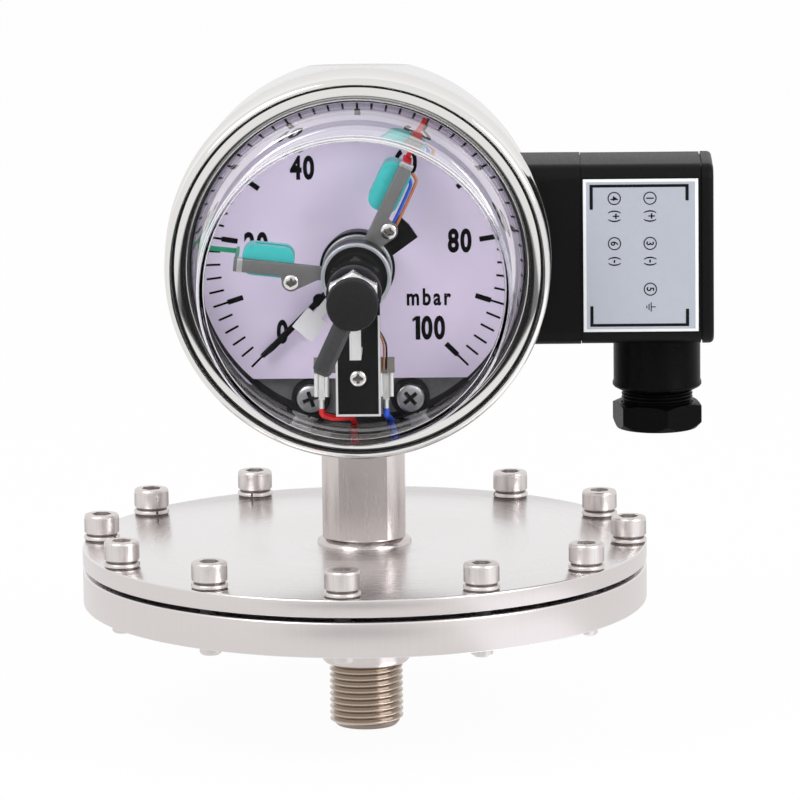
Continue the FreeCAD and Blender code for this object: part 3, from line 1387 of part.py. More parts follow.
def build_leads():
    """Leads from the crimp terminals around the base plate to the connector, and the high sensor's pair."""
    radius = size("lead_diameter") / 2
    low = -size("strip_top") - size("strip_height") - size("tab_length") - size("crimp_length")
    bracket_back = read(BRACKET_BACK)
    level = bracket_back - size("strip_thickness") / 2
    insert = read(INSERT_LEFT)
    mid = size("connector_front") - size("connector_depth") / 2
    left = size("left_tab")
    right = size("right_tab")
    ring = size("case_diameter") / 2 - size("case_wall") - size("lead_margin")
    wall = read(f"{WINDOW_BASE} - window_wall - lead_diameter / 2 - hole_clearance")
    spread = size("lead_spread")
    front = size("plate_back")
    hole = FreeCAD.Vector(ring + 0.5, 0, mid)
    red_level = front - 5
    blue_level = front - 2.2
    routes = {
        "red_lead": [FreeCAD.Vector(left, low, level), FreeCAD.Vector(left, low - 1.9, level),
                     FreeCAD.Vector(left + 3.4, low - 3.2, level - 1.2),
                     FreeCAD.Vector(-2, low - 3.2, level - 4), around(ring, 181, front + 7.5),
                     around(ring, 178.5, red_level), around(ring, 163, red_level),
                     around(ring - 3.5, 146, red_level - 1.5), around(ring - 3.5, 110, mid),
                     hole - FreeCAD.Vector(0, spread, 0), FreeCAD.Vector(insert, -spread, mid)],
        "blue_lead": [FreeCAD.Vector(right, low, level), FreeCAD.Vector(right, low - 2, level),
                      around(wall, 169.4, level - 8), around(ring, 168, front + 7.5),
                      around(ring, 166.5, blue_level), around(ring, 150, blue_level),
                      around(ring - 2.5, 135, blue_level - 1), around(ring - 2.5, 108, mid + 5),
                      hole + FreeCAD.Vector(0, spread, 1), FreeCAD.Vector(insert, spread, mid + 1)],
    }
    for name, route in routes.items():
        shape, tightest = lead_shape(route, radius)
        print(name, "tightest bend", round(tightest, 2), "mm")
        lead = doc.addObject("Part::Feature", name)
        lead.Shape = shape
        keep(on_dial(lead))

    thin = size("sensor_lead_diameter") / 2
    height = read(f"{HIGH_ARM_BACK} - rim_height / 2")
    root = size("hub_diameter") / 2 + 0.6
    side = size("sensor_width") / 2 - size("sensor_shift")
    pair = []
    for shift, entry in ((0, 22.5), (2.2 * thin, 25.5)):
        route = [(2.9 + shift, root, height), (3.6 + shift, root + 3.2, height),
                 (3.6 + shift, entry - 3.5, height), (side + thin, entry, height)]
        shape, tightest = lead_shape([FreeCAD.Vector(*point) for point in route], thin)
        print("sensor_leads tightest bend", round(tightest, 2), "mm")
        pair.append(shape)
    leads = doc.addObject("Part::Feature", "sensor_leads")
    leads.Shape = Part.makeCompound(pair)
    keep(on_dial(leads, "high_angle"))


def write_parts():
    """Check every object of the document, then write each sub-part to its own file."""
    doc.recompute()
    failed = [item.Label for item in doc.Objects if {"Invalid", "Error"} & set(item.State)]
    for item in sub_parts:
        if item.Shape.isNull() or not item.Shape.isValid() or not item.Shape.Solids:
            failed.append(item.Label)
    if failed:
        raise RuntimeError(f"not sound: {failed}")
    os.makedirs("parts", exist_ok=True)
    for item in sub_parts:
        item.Shape.exportStep(f"parts/{item.Label}.step")
    print(len(sub_parts), "sub-parts written")


build_process_side()
build_flange_fasteners()
build_stem()
build_case()
build_dial()
build_movement()
build_pointer()
build_bracket()
build_contact_unit()
build_adjuster()
build_connector()
build_leads()
write_parts()
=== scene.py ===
import logging
import math
from dataclasses import dataclass, field, replace
from enum import Enum
from typing import Callable, Iterable, Sequence

import bmesh
import bpy
from mathutils import Matrix, Vector


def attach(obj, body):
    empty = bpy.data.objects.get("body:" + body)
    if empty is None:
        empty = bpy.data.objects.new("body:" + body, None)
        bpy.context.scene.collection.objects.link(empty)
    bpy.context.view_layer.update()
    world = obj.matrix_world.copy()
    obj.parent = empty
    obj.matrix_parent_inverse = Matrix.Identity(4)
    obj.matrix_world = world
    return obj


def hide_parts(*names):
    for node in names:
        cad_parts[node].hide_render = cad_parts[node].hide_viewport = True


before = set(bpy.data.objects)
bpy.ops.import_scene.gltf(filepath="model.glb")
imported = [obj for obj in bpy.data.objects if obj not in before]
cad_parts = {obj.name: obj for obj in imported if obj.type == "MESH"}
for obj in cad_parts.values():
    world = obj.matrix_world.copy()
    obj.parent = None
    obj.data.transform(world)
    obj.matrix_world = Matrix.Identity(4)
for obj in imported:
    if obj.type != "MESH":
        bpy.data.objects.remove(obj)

LOG = logging.getLogger("contact_gauge")
MM = 0.001
# Height of the dial's axis, in millimetres.
HEAD = 120.4
# A reach beyond the bezel's rim, a cutter's reach past what it cuts, and a hair's breadth, in millimetres.
FAR = 60.0
PAST = 1.0
HAIR = 0.01
# Clock angles of the two limit arms, in degrees from the top of the dial.
LOW_CLOCK = -83.5
HIGH_CLOCK = 25.6
# Range of the grain's noise that is used, and the depth of its bump in metres.
GRAIN_LOW, GRAIN_HIGH = 0.3, 0.7
GRAIN_DEPTH = 0.00005
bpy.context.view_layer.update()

Profile = Sequence[tuple[float, float]]
Colour = tuple[float, float, float]
Points = list[tuple[float, float]]
Vertices = list[bmesh.types.BMVert]
Tree = bpy.types.NodeTree
Node = bpy.types.Node
Socket = bpy.types.NodeSocket


def new_material(label: str) -> tuple[bpy.types.Material, Tree]:
    """Make a material with nodes.

    Args:
        label: Name of the material.

    Returns:
        The material and its node tree.
    """
    material = bpy.data.materials.new(label)
    material.use_nodes = True
    return material, material.node_tree


def set_inputs(node: Node, **values: float | tuple[float, ...]) -> None:
    """Set some inputs of a node.

    Args:
        node: The node.
        values: Values by the input's name, with underscores for its blanks.
    """
    for name, value in values.items():
        node.inputs[name.replace("_", " ")].default_value = value


class Grain(Enum):
    """How a finish varies over its surface."""

    TURNED_STEM = "fine rings around the stem's axis"
    TURNED_DIAL = "fine rings around the dial's axis"
    ROLLED = "fine upright lines"
    MOULDED = "fine moulded grain"
    PRINTED = "even coat with a faint mottle"


@dataclass(frozen=True)
class Finish:
    """A procedural finish: one principled shader whose colour, roughness and bump follow a grain."""

    name: str
    colour: Colour
    roughness: float
    metallic: float = 0.0
    grain: Grain = Grain.MOULDED
    shade: float = 0.06
    rough_spread: float = 0.06
    bump: float = 0.05
    scale: float = 900.0
    coat: float = 0.0
    specular: float = 0.5

    def material(self) -> bpy.types.Material:
        """Make the finish once, and give the same material after that.

        Returns:
            The material with its node tree.
        """
        label = f"{self.name}_finish"
        known = bpy.data.materials.get(label)
        if known is not None:
            return known
        material, tree = new_material(label)
        shader = tree.nodes["Principled BSDF"]
        set_inputs(shader, Metallic=self.metallic, Coat_Weight=self.coat, Coat_Roughness=0.12,
                   Specular_IOR_Level=self.specular)
        pattern = self._pattern(tree)
        self._colour(tree, shader, pattern)
        self._roughness(tree, shader, pattern)
        self._bump(tree, shader, pattern)
        return material

    def _pattern(self, tree: Tree) -> Socket:
        """Build the grain's grey pattern.

        Args:
            tree: Node tree of the material.

        Returns:
            The socket that carries the pattern, about 0 to 1.
        """
        place = tree.nodes.new("ShaderNodeTexCoord")
        mapping = tree.nodes.new("ShaderNodeMapping")
        noise = tree.nodes.new("ShaderNodeTexNoise")
        set_inputs(noise, Detail=4.0, Roughness=0.6, Scale=self.scale)
        tree.links.new(place.outputs["Object"], mapping.inputs["Vector"])
        vector = mapping.outputs["Vector"]
        if self.grain in (Grain.TURNED_STEM, Grain.TURNED_DIAL):
            vector = self._rings(tree, mapping)
        elif self.grain is Grain.ROLLED:
            set_inputs(mapping, Scale=(1.0, 1.0, 0.04))
        tree.links.new(vector, noise.inputs["Vector"])
        return noise.outputs["Fac"]

    def _rings(self, tree: Tree, mapping: Node) -> Socket:
        """Turn a place into its radius and height about the finish's axis, so that noise becomes rings.

        Args:
            tree: Node tree of the material.
            mapping: Mapping node that carries the place.

        Returns:
            A vector socket of radius and height.
        """
        across, along = "Y", "Z"
        if self.grain is Grain.TURNED_DIAL:
            across, along = "Z", "Y"
            set_inputs(mapping, Location=(0.0, 0.0, -HEAD * MM))
        split = tree.nodes.new("ShaderNodeSeparateXYZ")
        flat = tree.nodes.new("ShaderNodeCombineXYZ")
        length = tree.nodes.new("ShaderNodeVectorMath")
        length.operation = "LENGTH"
        ring_place = tree.nodes.new("ShaderNodeCombineXYZ")
        tree.links.new(mapping.outputs["Vector"], split.inputs["Vector"])
        tree.links.new(split.outputs["X"], flat.inputs["X"])
        tree.links.new(split.outputs[across], flat.inputs["Y"])
        tree.links.new(flat.outputs["Vector"], length.inputs[0])
        tree.links.new(length.outputs["Value"], ring_place.inputs["X"])
        tree.links.new(split.outputs[along], ring_place.inputs["Y"])
        return ring_place.outputs["Vector"]

    def _colour(self, tree: Tree, shader: Node, pattern: Socket) -> None:
        """Shade the base colour lightly with the pattern.

        Args:
            tree: Node tree of the material.
            shader: Principled shader.
            pattern: Grain of the finish.
        """
        ramp = tree.nodes.new("ShaderNodeValToRGB")
        low = [max(0.0, channel * (1.0 - self.shade)) for channel in self.colour]
        high = [min(1.0, channel * (1.0 + self.shade)) for channel in self.colour]
        for stop, position, colour in zip(ramp.color_ramp.elements, (GRAIN_LOW, GRAIN_HIGH), (low, high)):
            stop.position = position
            stop.color = (*colour, 1.0)
        tree.links.new(pattern, ramp.inputs["Fac"])
        tree.links.new(ramp.outputs["Color"], shader.inputs["Base Color"])

    def _roughness(self, tree: Tree, shader: Node, pattern: Socket) -> None:
        """Spread the roughness with the pattern.

        Args:
            tree: Node tree of the material.
            shader: Principled shader.
            pattern: Grain of the finish.
        """
        spread = tree.nodes.new("ShaderNodeMapRange")
        set_inputs(spread, From_Min=GRAIN_LOW, From_Max=GRAIN_HIGH,
                   To_Min=max(0.02, self.roughness - self.rough_spread),
                   To_Max=min(1.0, self.roughness + self.rough_spread))
        tree.links.new(pattern, spread.inputs["Value"])
        tree.links.new(spread.outputs["Result"], shader.inputs["Roughness"])

    def _bump(self, tree: Tree, shader: Node, pattern: Socket) -> None:
        """Raise the pattern a little.

        Args:
            tree: Node tree of the material.
            shader: Principled shader.
            pattern: Grain of the finish.
        """
        bump = tree.nodes.new("ShaderNodeBump")
        set_inputs(bump, Strength=self.bump, Distance=GRAIN_DEPTH)
        tree.links.new(pattern, bump.inputs["Height"])
        tree.links.new(bump.outputs["Normal"], shader.inputs["Normal"])


@dataclass(frozen=True)
class ClearFinish:
    """A clear moulded wall with a faint haze on its faces."""

    name: str
    tint: Colour
    roughness: float
    bending: float
    haze_scale: float = 60.0

    def material(self) -> bpy.types.Material:
        """Make the clear finish once, and give the same material after that.

        Returns:
            The material with its node tree.
        """
        label = f"{self.name}_finish"
        known = bpy.data.materials.get(label)
        if known is not None:
            return known
        material, tree = new_material(label)
        shader = tree.nodes["Principled BSDF"]
        set_inputs(shader, Base_Color=(*self.tint, 1.0), Transmission_Weight=1.0, IOR=self.bending)
        place = tree.nodes.new("ShaderNodeTexCoord")
        noise = tree.nodes.new("ShaderNodeTexNoise")
        set_inputs(noise, Scale=self.haze_scale)
        haze = tree.nodes.new("ShaderNodeMapRange")
        set_inputs(haze, To_Min=0.5 * self.roughness, To_Max=1.5 * self.roughness)
        tree.links.new(place.outputs["Object"], noise.inputs["Vector"])
        tree.links.new(noise.outputs["Fac"], haze.inputs["Value"])
        tree.links.new(haze.outputs["Result"], shader.inputs["Roughness"])
        return material


# Each finish begins with its name, colour, roughness, metallic share and grain.
FLANGE_STEEL = Finish("flange_steel", (0.76, 0.735, 0.735), 0.24, 1.0, Grain.TURNED_STEM,
                      shade=0.02, rough_spread=0.05, scale=1500.0)
# The flanges' turned sides: rougher, with upright lines, and darker than the faces, which is painted shade.
RIM_SHADED_STEEL = Finish("rim_shaded_steel", (0.67, 0.63, 0.62), 0.3, 1.0, Grain.ROLLED,
                   shade=0.012, rough_spread=0.01, bump=0.004, scale=1500.0)
STEM_STEEL = Finish("stem_steel", (0.62, 0.57, 0.555), 0.26, 1.0, Grain.ROLLED,
                    shade=0.01, rough_spread=0.02, bump=0.03, scale=2600.0)
THREAD_STEEL = Finish("thread_steel", (0.50, 0.43, 0.37), 0.16, 1.0, Grain.TURNED_STEM,
                      shade=0.03, rough_spread=0.03, bump=0.0)
# Painted shade: a dark copy of the thread's steel for the thread's roots and its lower end.
THREAD_PAINTED_SHADE = replace(THREAD_STEEL, name="thread_painted_shade", colour=(0.26, 0.20, 0.165), roughness=0.32,
                       shade=0.05, rough_spread=0.05)
SCREW_STEEL = Finish("screw_steel", (0.68, 0.635, 0.62), 0.36, 1.0, Grain.ROLLED,
                     shade=0.08, bump=0.08, scale=2200.0)
# Painted shade: a dark copy of the screws' steel for the waist under each head and the washers' lower edge.
SCREW_PAINTED_SHADE = replace(SCREW_STEEL, name="screw_painted_shade", colour=(0.16, 0.14, 0.13), roughness=0.4, bump=0.0)
CASE_STEEL = Finish("case_steel", (0.74, 0.735, 0.74), 0.24, 1.0, Grain.TURNED_DIAL,
                    shade=0.02, rough_spread=0.04, scale=1700.0)
BEZEL_STEEL = Finish("bezel_steel", (0.76, 0.75, 0.73), 0.09, 1.0, Grain.TURNED_DIAL,
                     shade=0.015, rough_spread=0.02, bump=0.0)
SHEET_STEEL = Finish("sheet_steel", (0.6, 0.6, 0.6), 0.3, 1.0, Grain.TURNED_STEM,
                     shade=0.05, rough_spread=0.05, scale=1300.0)
STRIP_STEEL = Finish("strip_steel", (0.80, 0.80, 0.79), 0.42, 0.45, Grain.ROLLED,
                     shade=0.05, bump=0.06, scale=1300.0)
NICKEL = Finish("nickel_plate", (0.78, 0.77, 0.75), 0.14, 1.0, shade=0.05, rough_spread=0.05, bump=0.06)
ZINC = Finish("zinc_plate", (0.62, 0.62, 0.63), 0.38, 0.8,
              shade=0.10, rough_spread=0.08, bump=0.10, scale=700.0)
# Painted shade: dark and lighter copies of the plating for the screws' cross recesses.
RECESS_PAINTED_SHADE = replace(ZINC, name="recess_painted_shade", colour=(0.03, 0.03, 0.03), roughness=0.35, metallic=0.6,
                      bump=0.0)
RECESS_LIGHT_PAINTED_SHADE = replace(RECESS_PAINTED_SHADE, name="recess_light_painted_shade", colour=(0.20, 0.185, 0.17), roughness=0.4,
                      metallic=0.7)
BRASS = Finish("movement_brass", (0.68, 0.50, 0.24), 0.30, 1.0, Grain.ROLLED, bump=0.08, scale=1500.0)
RUBBER = Finish("seal_rubber", (0.012, 0.012, 0.013), 0.55,
                shade=0.15, rough_spread=0.08, bump=0.15, scale=1500.0)
DIAL_PAINT = Finish("dial_paint", (0.87, 0.765, 0.99), 0.55, 0.0, Grain.PRINTED,
                    shade=0.012, rough_spread=0.04, bump=0.02, scale=300.0)
PRINT_BLACK = Finish("dial_print", (0.005, 0.005, 0.006), 0.45, 0.0, Grain.PRINTED,
                     shade=0.2, rough_spread=0.05, bump=0.03, specular=0.12)
PLATE_GREY = Finish("plate_grey", (0.21, 0.21, 0.215), 0.42, 0.0, Grain.PRINTED, shade=0.12, bump=0.08)
POINTER_BLACK = Finish("pointer_black", (0.005, 0.005, 0.005), 0.4, 0.0, Grain.PRINTED,
                       shade=0.2, specular=0.2)
SATIN_BLACK = Finish("satin_black", (0.007, 0.007, 0.007), 0.36, 0.0, Grain.PRINTED,
                     shade=0.2, bump=0.06, specular=0.2)
HUB_BLACK = Finish("hub_black", (0.006, 0.006, 0.006), 0.35, 0.0, Grain.TURNED_DIAL,
                   shade=0.25, rough_spread=0.08, bump=0.15, scale=1100.0, specular=0.25)
KNOB_BLACK = Finish("knob_black", (0.011, 0.011, 0.012), 0.5,
                    shade=0.25, rough_spread=0.10, bump=0.35, scale=1300.0, specular=0.2)
LEVER_BLACK = Finish("lever_black", (0.034, 0.034, 0.036), 0.42,
                     shade=0.20, rough_spread=0.08, bump=0.25, scale=1300.0, specular=0.4)
CONNECTOR_BLACK = Finish("connector_black", (0.004, 0.004, 0.004), 0.42,
                         shade=0.25, rough_spread=0.08, bump=0.28, scale=1600.0, specular=0.11)
# Painted shade: a darker, less glossy copy of the connector's black for the gland below the connector.
GLAND_SHADED_BLACK = replace(CONNECTOR_BLACK, name="gland_shaded_black", colour=(0.0018, 0.0018, 0.0018), roughness=0.34,
                      bump=0.15, specular=0.055)
ARM_GREY = Finish("arm_grey", (0.14, 0.14, 0.142), 0.45, 0.2,
                  shade=0.10, rough_spread=0.07, bump=0.10, scale=1300.0)
# Painted highlight: a light, metallic grey for the arms' folded ends, far lighter than the arms' grey.
FOLD_HIGHLIGHT_GREY = Finish("fold_highlight_grey", (0.50, 0.50, 0.51), 0.32, 0.7, shade=0.08, bump=0.08, scale=1300.0)
RIM_GREY = Finish("rim_grey", (0.42, 0.44, 0.47), 0.34, 0.6, Grain.TURNED_DIAL,
                  shade=0.08, bump=0.08, scale=1300.0)
STRIP_TAUPE = Finish("strip_taupe", (0.17, 0.155, 0.135), 0.5, shade=0.10, bump=0.10)
SENSOR_TEAL = Finish("sensor_teal", (0.05, 0.50, 0.50), 0.30,
                     shade=0.05, rough_spread=0.05, bump=0.08, scale=500.0, coat=0.2)
BORDER_GREY = Finish("border_grey", (0.55, 0.55, 0.56), 0.4, 0.0, Grain.PRINTED,
                     shade=0.04, rough_spread=0.05, bump=0.04)
VANE_GREY = Finish("vane_grey", (0.86, 0.85, 0.88), 0.4, shade=0.04, bump=0.06, scale=800.0)
SET_RED = Finish("set_pointer_red", (0.70, 0.012, 0.012), 0.4, 0.0, Grain.PRINTED,
                 rough_spread=0.05, bump=0.04)
SET_GREEN = replace(SET_RED, name="set_pointer_green", colour=(0.008, 0.32, 0.17))
WIRE_RED = Finish("wire_red", (0.62, 0.010, 0.012), 0.35, shade=0.08, bump=0.10)
WIRE_BLUE = replace(WIRE_RED, name="wire_blue", colour=(0.02, 0.09, 0.62))
WIRE_BROWN = replace(WIRE_RED, name="wire_brown", colour=(0.45, 0.17, 0.07), roughness=0.4)
LABEL_GREY = Finish("label_grey", (0.39, 0.415, 0.475), 0.45, 0.0, Grain.PRINTED,
                    shade=0.015, rough_spread=0.04, bump=0.02, scale=500.0)
LABEL_WHITE = replace(LABEL_GREY, name="label_white", colour=(0.78, 0.79, 0.81), roughness=0.4)
CLEAR_WINDOW = ClearFinish("clear_window", (0.985, 0.985, 0.99), 0.012, 1.46)

FINISHED_NODES: dict[Finish | ClearFinish, str] = {
    FLANGE_STEEL: "lower_flange upper_flange",
    THREAD_STEEL: "process_connection",
    STEM_STEEL: "stem push_rod",
    SCREW_STEEL: "flange_screws spring_washers",
    SHEET_STEEL: "diaphragm",
    CASE_STEEL: "case",
    BEZEL_STEEL: "bezel",
    STRIP_STEEL: "terminals driver_arm",
    RUBBER: "flange_gasket window_gasket plate_grommets gland_seal",
    BRASS: "socket_block movement_rear_plate movement_front_plate movement_pillars sector_gear",
    ZINC: "plate_screws pointer_arbor hub_spindle",
    NICKEL: "bracket_screw low_arm_screw high_arm_screw lock_bush lock_nut",
    PLATE_GREY: "base_plate",
    DIAL_PAINT: "dial",
    POINTER_BLACK: "pointer",
    VANE_GREY: "vane",
    SATIN_BLACK: "contact_bracket bracket_face_plate contact_insert",
    STRIP_TAUPE: "terminal_strip",
    HUB_BLACK: "driver_disc low_hub low_cap high_hub high_guard",
    ARM_GREY: "low_arm high_arm",
    RIM_GREY: "low_rim high_rim",
    SENSOR_TEAL: "low_sensor high_sensor",
    SET_GREEN: "low_set_pointer",
    SET_RED: "high_set_pointer",
    KNOB_BLACK: "lock_collar knob",
    CONNECTOR_BLACK: "connector_adapter connector_housing connector_cover gland_nut",
    WIRE_RED: "red_lead",
    WIRE_BLUE: "blue_lead sensor_leads",
    CLEAR_WINDOW: "window",
}


def on_dial(clock: float = 0.0) -> Matrix:
    """Place a local frame on the dial's axis.

    Args:
        clock: Angle of the local y from the top of the dial, clockwise, in degrees.

    Returns:
        Matrix from local millimetres, x right, y up and z towards the viewer, to the part's millimetres.
    """
    turn = Matrix.Rotation(math.radians(90.0), 4, "X") @ Matrix.Rotation(math.radians(-clock), 4, "Z")
    return Matrix.Translation((0.0, 0.0, HEAD)) @ turn


def ring(inner: float, outer: float, low: float, high: float) -> Profile:
    """Give the profile of a plain ring.

    Args:
        inner: Its inner radius.
        outer: Its outer radius.
        low: Height of its back.
        high: Height of its front.

    Returns:
        The four corners of the profile.
    """
    return [(inner, low), (outer, low), (outer, high), (inner, high)]


def arc(middle: tuple[float, float], radius: float, first: float, last: float, steps: int) -> Points:
    """Give the points of an arc, with both of its ends.

    Args:
        middle: Middle of the arc.
        radius: Radius of the arc.
        first: Angle of its first end from the first axis, in degrees.
        last: Angle of its last end, in degrees.
        steps: Steps from end to end.

    Returns:
        The points in order.
    """
    turns = [math.radians(first + (last - first) * step / steps) for step in range(steps + 1)]
    return [(middle[0] + radius * math.cos(turn), middle[1] + radius * math.sin(turn)) for turn in turns]


def hexagon(flats: float) -> Points:
    """Give a hexagon's corners, the first at the bottom.

    Args:
        flats: Width across the flats.

    Returns:
        The corners, counter-clockwise.
    """
    corner = flats / math.sqrt(3.0)
    turns = [math.radians(60.0 * step) for step in range(6)]
    return [(corner * math.sin(turn), -corner * math.cos(turn)) for turn in turns]


def curve_mesh(curve: bpy.types.Curve) -> bpy.types.Mesh:
    """Turn a curve into a mesh, and use the curve up.

    Args:
        curve: The curve's data.

    Returns:
        The mesh.
    """
    holder = bpy.data.objects.new(curve.name, curve)
    bpy.context.scene.collection.objects.link(holder)
    bpy.context.view_layer.update()
    data = bpy.data.meshes.new_from_object(holder.evaluated_get(bpy.context.evaluated_depsgraph_get()))
    bpy.data.objects.remove(holder)
    bpy.data.curves.remove(curve)
    return data


@dataclass(frozen=True)
class Lettering:
    """Style of printed letters: height of a figure, width share, added weight, clock angle and spacing."""

    height: float
    squeeze: float = 1.0
    weight: float = 0.0
    turn: float = 0.0
    spacing: float = 1.0
    figure_share: float = 0.72
    thickness: float = 0.06


@dataclass
class Workpiece:
    """A mesh in the making, in millimetres of a local frame that a matrix places in the part."""

    name: str
    place: Matrix = field(default_factory=Matrix)
    mesh: bmesh.types.BMesh = field(default_factory=bmesh.new)

    def turn(self, profile: Profile, steps: int = 128, middle: tuple[float, float] = (0.0, 0.0)) -> None:
        """Spin a closed profile of radius and height about the local z axis.

        Args:
            profile: Corners of the closed profile, in order.
            steps: Steps of the full turn.
            middle: Where the axis stands in the local frame.
        """
        corners = [self.mesh.verts.new((middle[0] + radius, middle[1], height)) for radius, height in profile]
        off_axis = [radius > 1e-6 for radius, _ in profile]
        sides = zip(corners, corners[1:] + corners[:1], off_axis, off_axis[1:] + off_axis[:1])
        edges = [self.mesh.edges.new((first, second)) for first, second, near, far in sides if near or far]
        bmesh.ops.spin(self.mesh, geom=corners + edges, cent=(*middle, 0.0), axis=(0.0, 0.0, 1.0),
                       angle=math.tau, steps=steps, use_merge=True)
        bmesh.ops.remove_doubles(self.mesh, verts=self.mesh.verts, dist=1e-4)

    def block(self, low: Sequence[float], high: Sequence[float], turn: float = 0.0) -> Vertices:
        """Add a box between two corners.

        Args:
            low: Lowest corner.
            high: Highest corner.
            turn: Clock angle to turn the box about the local z axis, in degrees.

        Returns:
            The box's vertices.
        """
        size = [top - bottom for bottom, top in zip(low, high)]
        centre = [(top + bottom) / 2.0 for bottom, top in zip(low, high)]
        matrix = Matrix.Rotation(math.radians(-turn), 4, "Z") @ Matrix.Translation(centre)
        matrix = matrix @ Matrix.Diagonal((*size, 1.0))
        return bmesh.ops.create_cube(self.mesh, size=1.0, matrix=matrix)["verts"]

    def plate(self, outline: Profile, low: float, high: float) -> None:
        """Extrude an outline between two heights.

        Args:
            outline: Corners of the outline, counter-clockwise.
            low: Height of the back.
            high: Height of the front.
        """
        face = self.mesh.faces.new([self.mesh.verts.new((x, y, low)) for x, y in outline])
        grown = bmesh.ops.extrude_face_region(self.mesh, geom=[face])["geom"]
        raised = [item for item in grown if isinstance(item, bmesh.types.BMVert)]
        bmesh.ops.translate(self.mesh, verts=raised, vec=(0.0, 0.0, high - low))

    def rod(self, radius: float, start: Sequence[float], end: Sequence[float], steps: int = 32,
            squash: tuple[float, float] = (1.0, 1.0)) -> None:
        """Add a closed round bar between two points.

        Args:
            radius: Radius of the bar.
            start: Middle of its first end.
            end: Middle of its last end.
            steps: Sides of the bar.
            squash: Scale of its section along its two cross directions.
        """
        line = Vector(end) - Vector(start)
        turn = line.to_track_quat("Z", "X").to_matrix().to_4x4()
        matrix = Matrix.Translation((Vector(start) + Vector(end)) / 2.0) @ turn
        bmesh.ops.create_cone(self.mesh, cap_ends=True, segments=steps, radius1=radius, radius2=radius,
                              depth=line.length, matrix=matrix @ Matrix.Diagonal((*squash, 1.0, 1.0)))

    def join(self, other: "Workpiece", place: Matrix) -> None:
        """Add another workpiece's mesh, and use that workpiece up.

        Args:
            other: Workpiece to add.
            place: Where it goes in this one's local frame.
        """
        bmesh.ops.transform(other.mesh, matrix=place, verts=other.mesh.verts)
        data = bpy.data.meshes.new(other.name)
        other.mesh.to_mesh(data)
        other.mesh.free()
        self.mesh.from_mesh(data)
        bpy.data.meshes.remove(data)

    def repeat(self, other: "Workpiece", places: Iterable[Matrix]) -> None:
        """Add copies of another workpiece's mesh, and use that workpiece up.

        Args:
            other: Workpiece to copy.
            places: Where the copies go in this one's local frame.
        """
        for place in places:
            self.join(Workpiece(other.name, mesh=other.mesh.copy()), place)
        other.mesh.free()

    def carve(self, cutter: "Workpiece") -> None:
        """Cut another workpiece out of this one, and use that workpiece up.

        Args:
            cutter: Closed workpiece to take away.
        """
        holders = []
        for piece in (self, cutter):
            bmesh.ops.recalc_face_normals(piece.mesh, faces=piece.mesh.faces)
            data = bpy.data.meshes.new(piece.name)
            piece.mesh.to_mesh(data)
            piece.mesh.free()
            holder = bpy.data.objects.new(piece.name, data)
            bpy.context.scene.collection.objects.link(holder)
            holders.append(holder)
        cut = holders[0].modifiers.new("cut", "BOOLEAN")
        cut.operation = "DIFFERENCE"
        cut.solver = "EXACT"
        cut.object = holders[1]
        bpy.context.view_layer.update()
        carved = holders[0].evaluated_get(bpy.context.evaluated_depsgraph_get())
        result = bpy.data.meshes.new_from_object(carved)
        self.mesh = bmesh.new()
        self.mesh.from_mesh(result)
        for holder in holders:
            data = holder.data
            bpy.data.objects.remove(holder)
            bpy.data.meshes.remove(data)
        bpy.data.meshes.remove(result)

    def copy_node(self, node: str) -> None:
        """Copy a node's mesh, with its doubles merged and its flat faces made whole.

        Args:
            node: Name of the node.
        """
        self.mesh.from_mesh(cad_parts[node].data)
        bmesh.ops.transform(self.mesh, matrix=Matrix.Scale(1.0 / MM, 4), verts=self.mesh.verts)
        bmesh.ops.remove_doubles(self.mesh, verts=self.mesh.verts, dist=1e-3)
        bmesh.ops.dissolve_limit(self.mesh, angle_limit=math.radians(0.5), verts=self.mesh.verts,
                                 edges=self.mesh.edges)

    def strand(self, points: Sequence[Sequence[float]], radius: float, colour: int = 0) -> None:
        """Lay a thin lead along a smooth line.

        Args:
            points: Control points of the line.
            radius: Radius of the lead.
            colour: Index of the lead's material.
        """
        curve = bpy.data.curves.new("strand", "CURVE")
        curve.dimensions = "3D"
        curve.bevel_depth = radius
        curve.bevel_resolution = 3
        curve.use_fill_caps = True
        line = curve.splines.new("NURBS")
        line.points.add(len(points) - 1)
        for knot, point in zip(line.points, points):
            knot.co = (*point, 1.0)
        line.order_u = 3
        line.use_endpoint_u = True
        line.resolution_u = 8
        data = curve_mesh(curve)
        known = len(self.mesh.faces)
        self.mesh.from_mesh(data)
        bpy.data.meshes.remove(data)
        for face in self.mesh.faces[known:]:
            face.material_index = colour

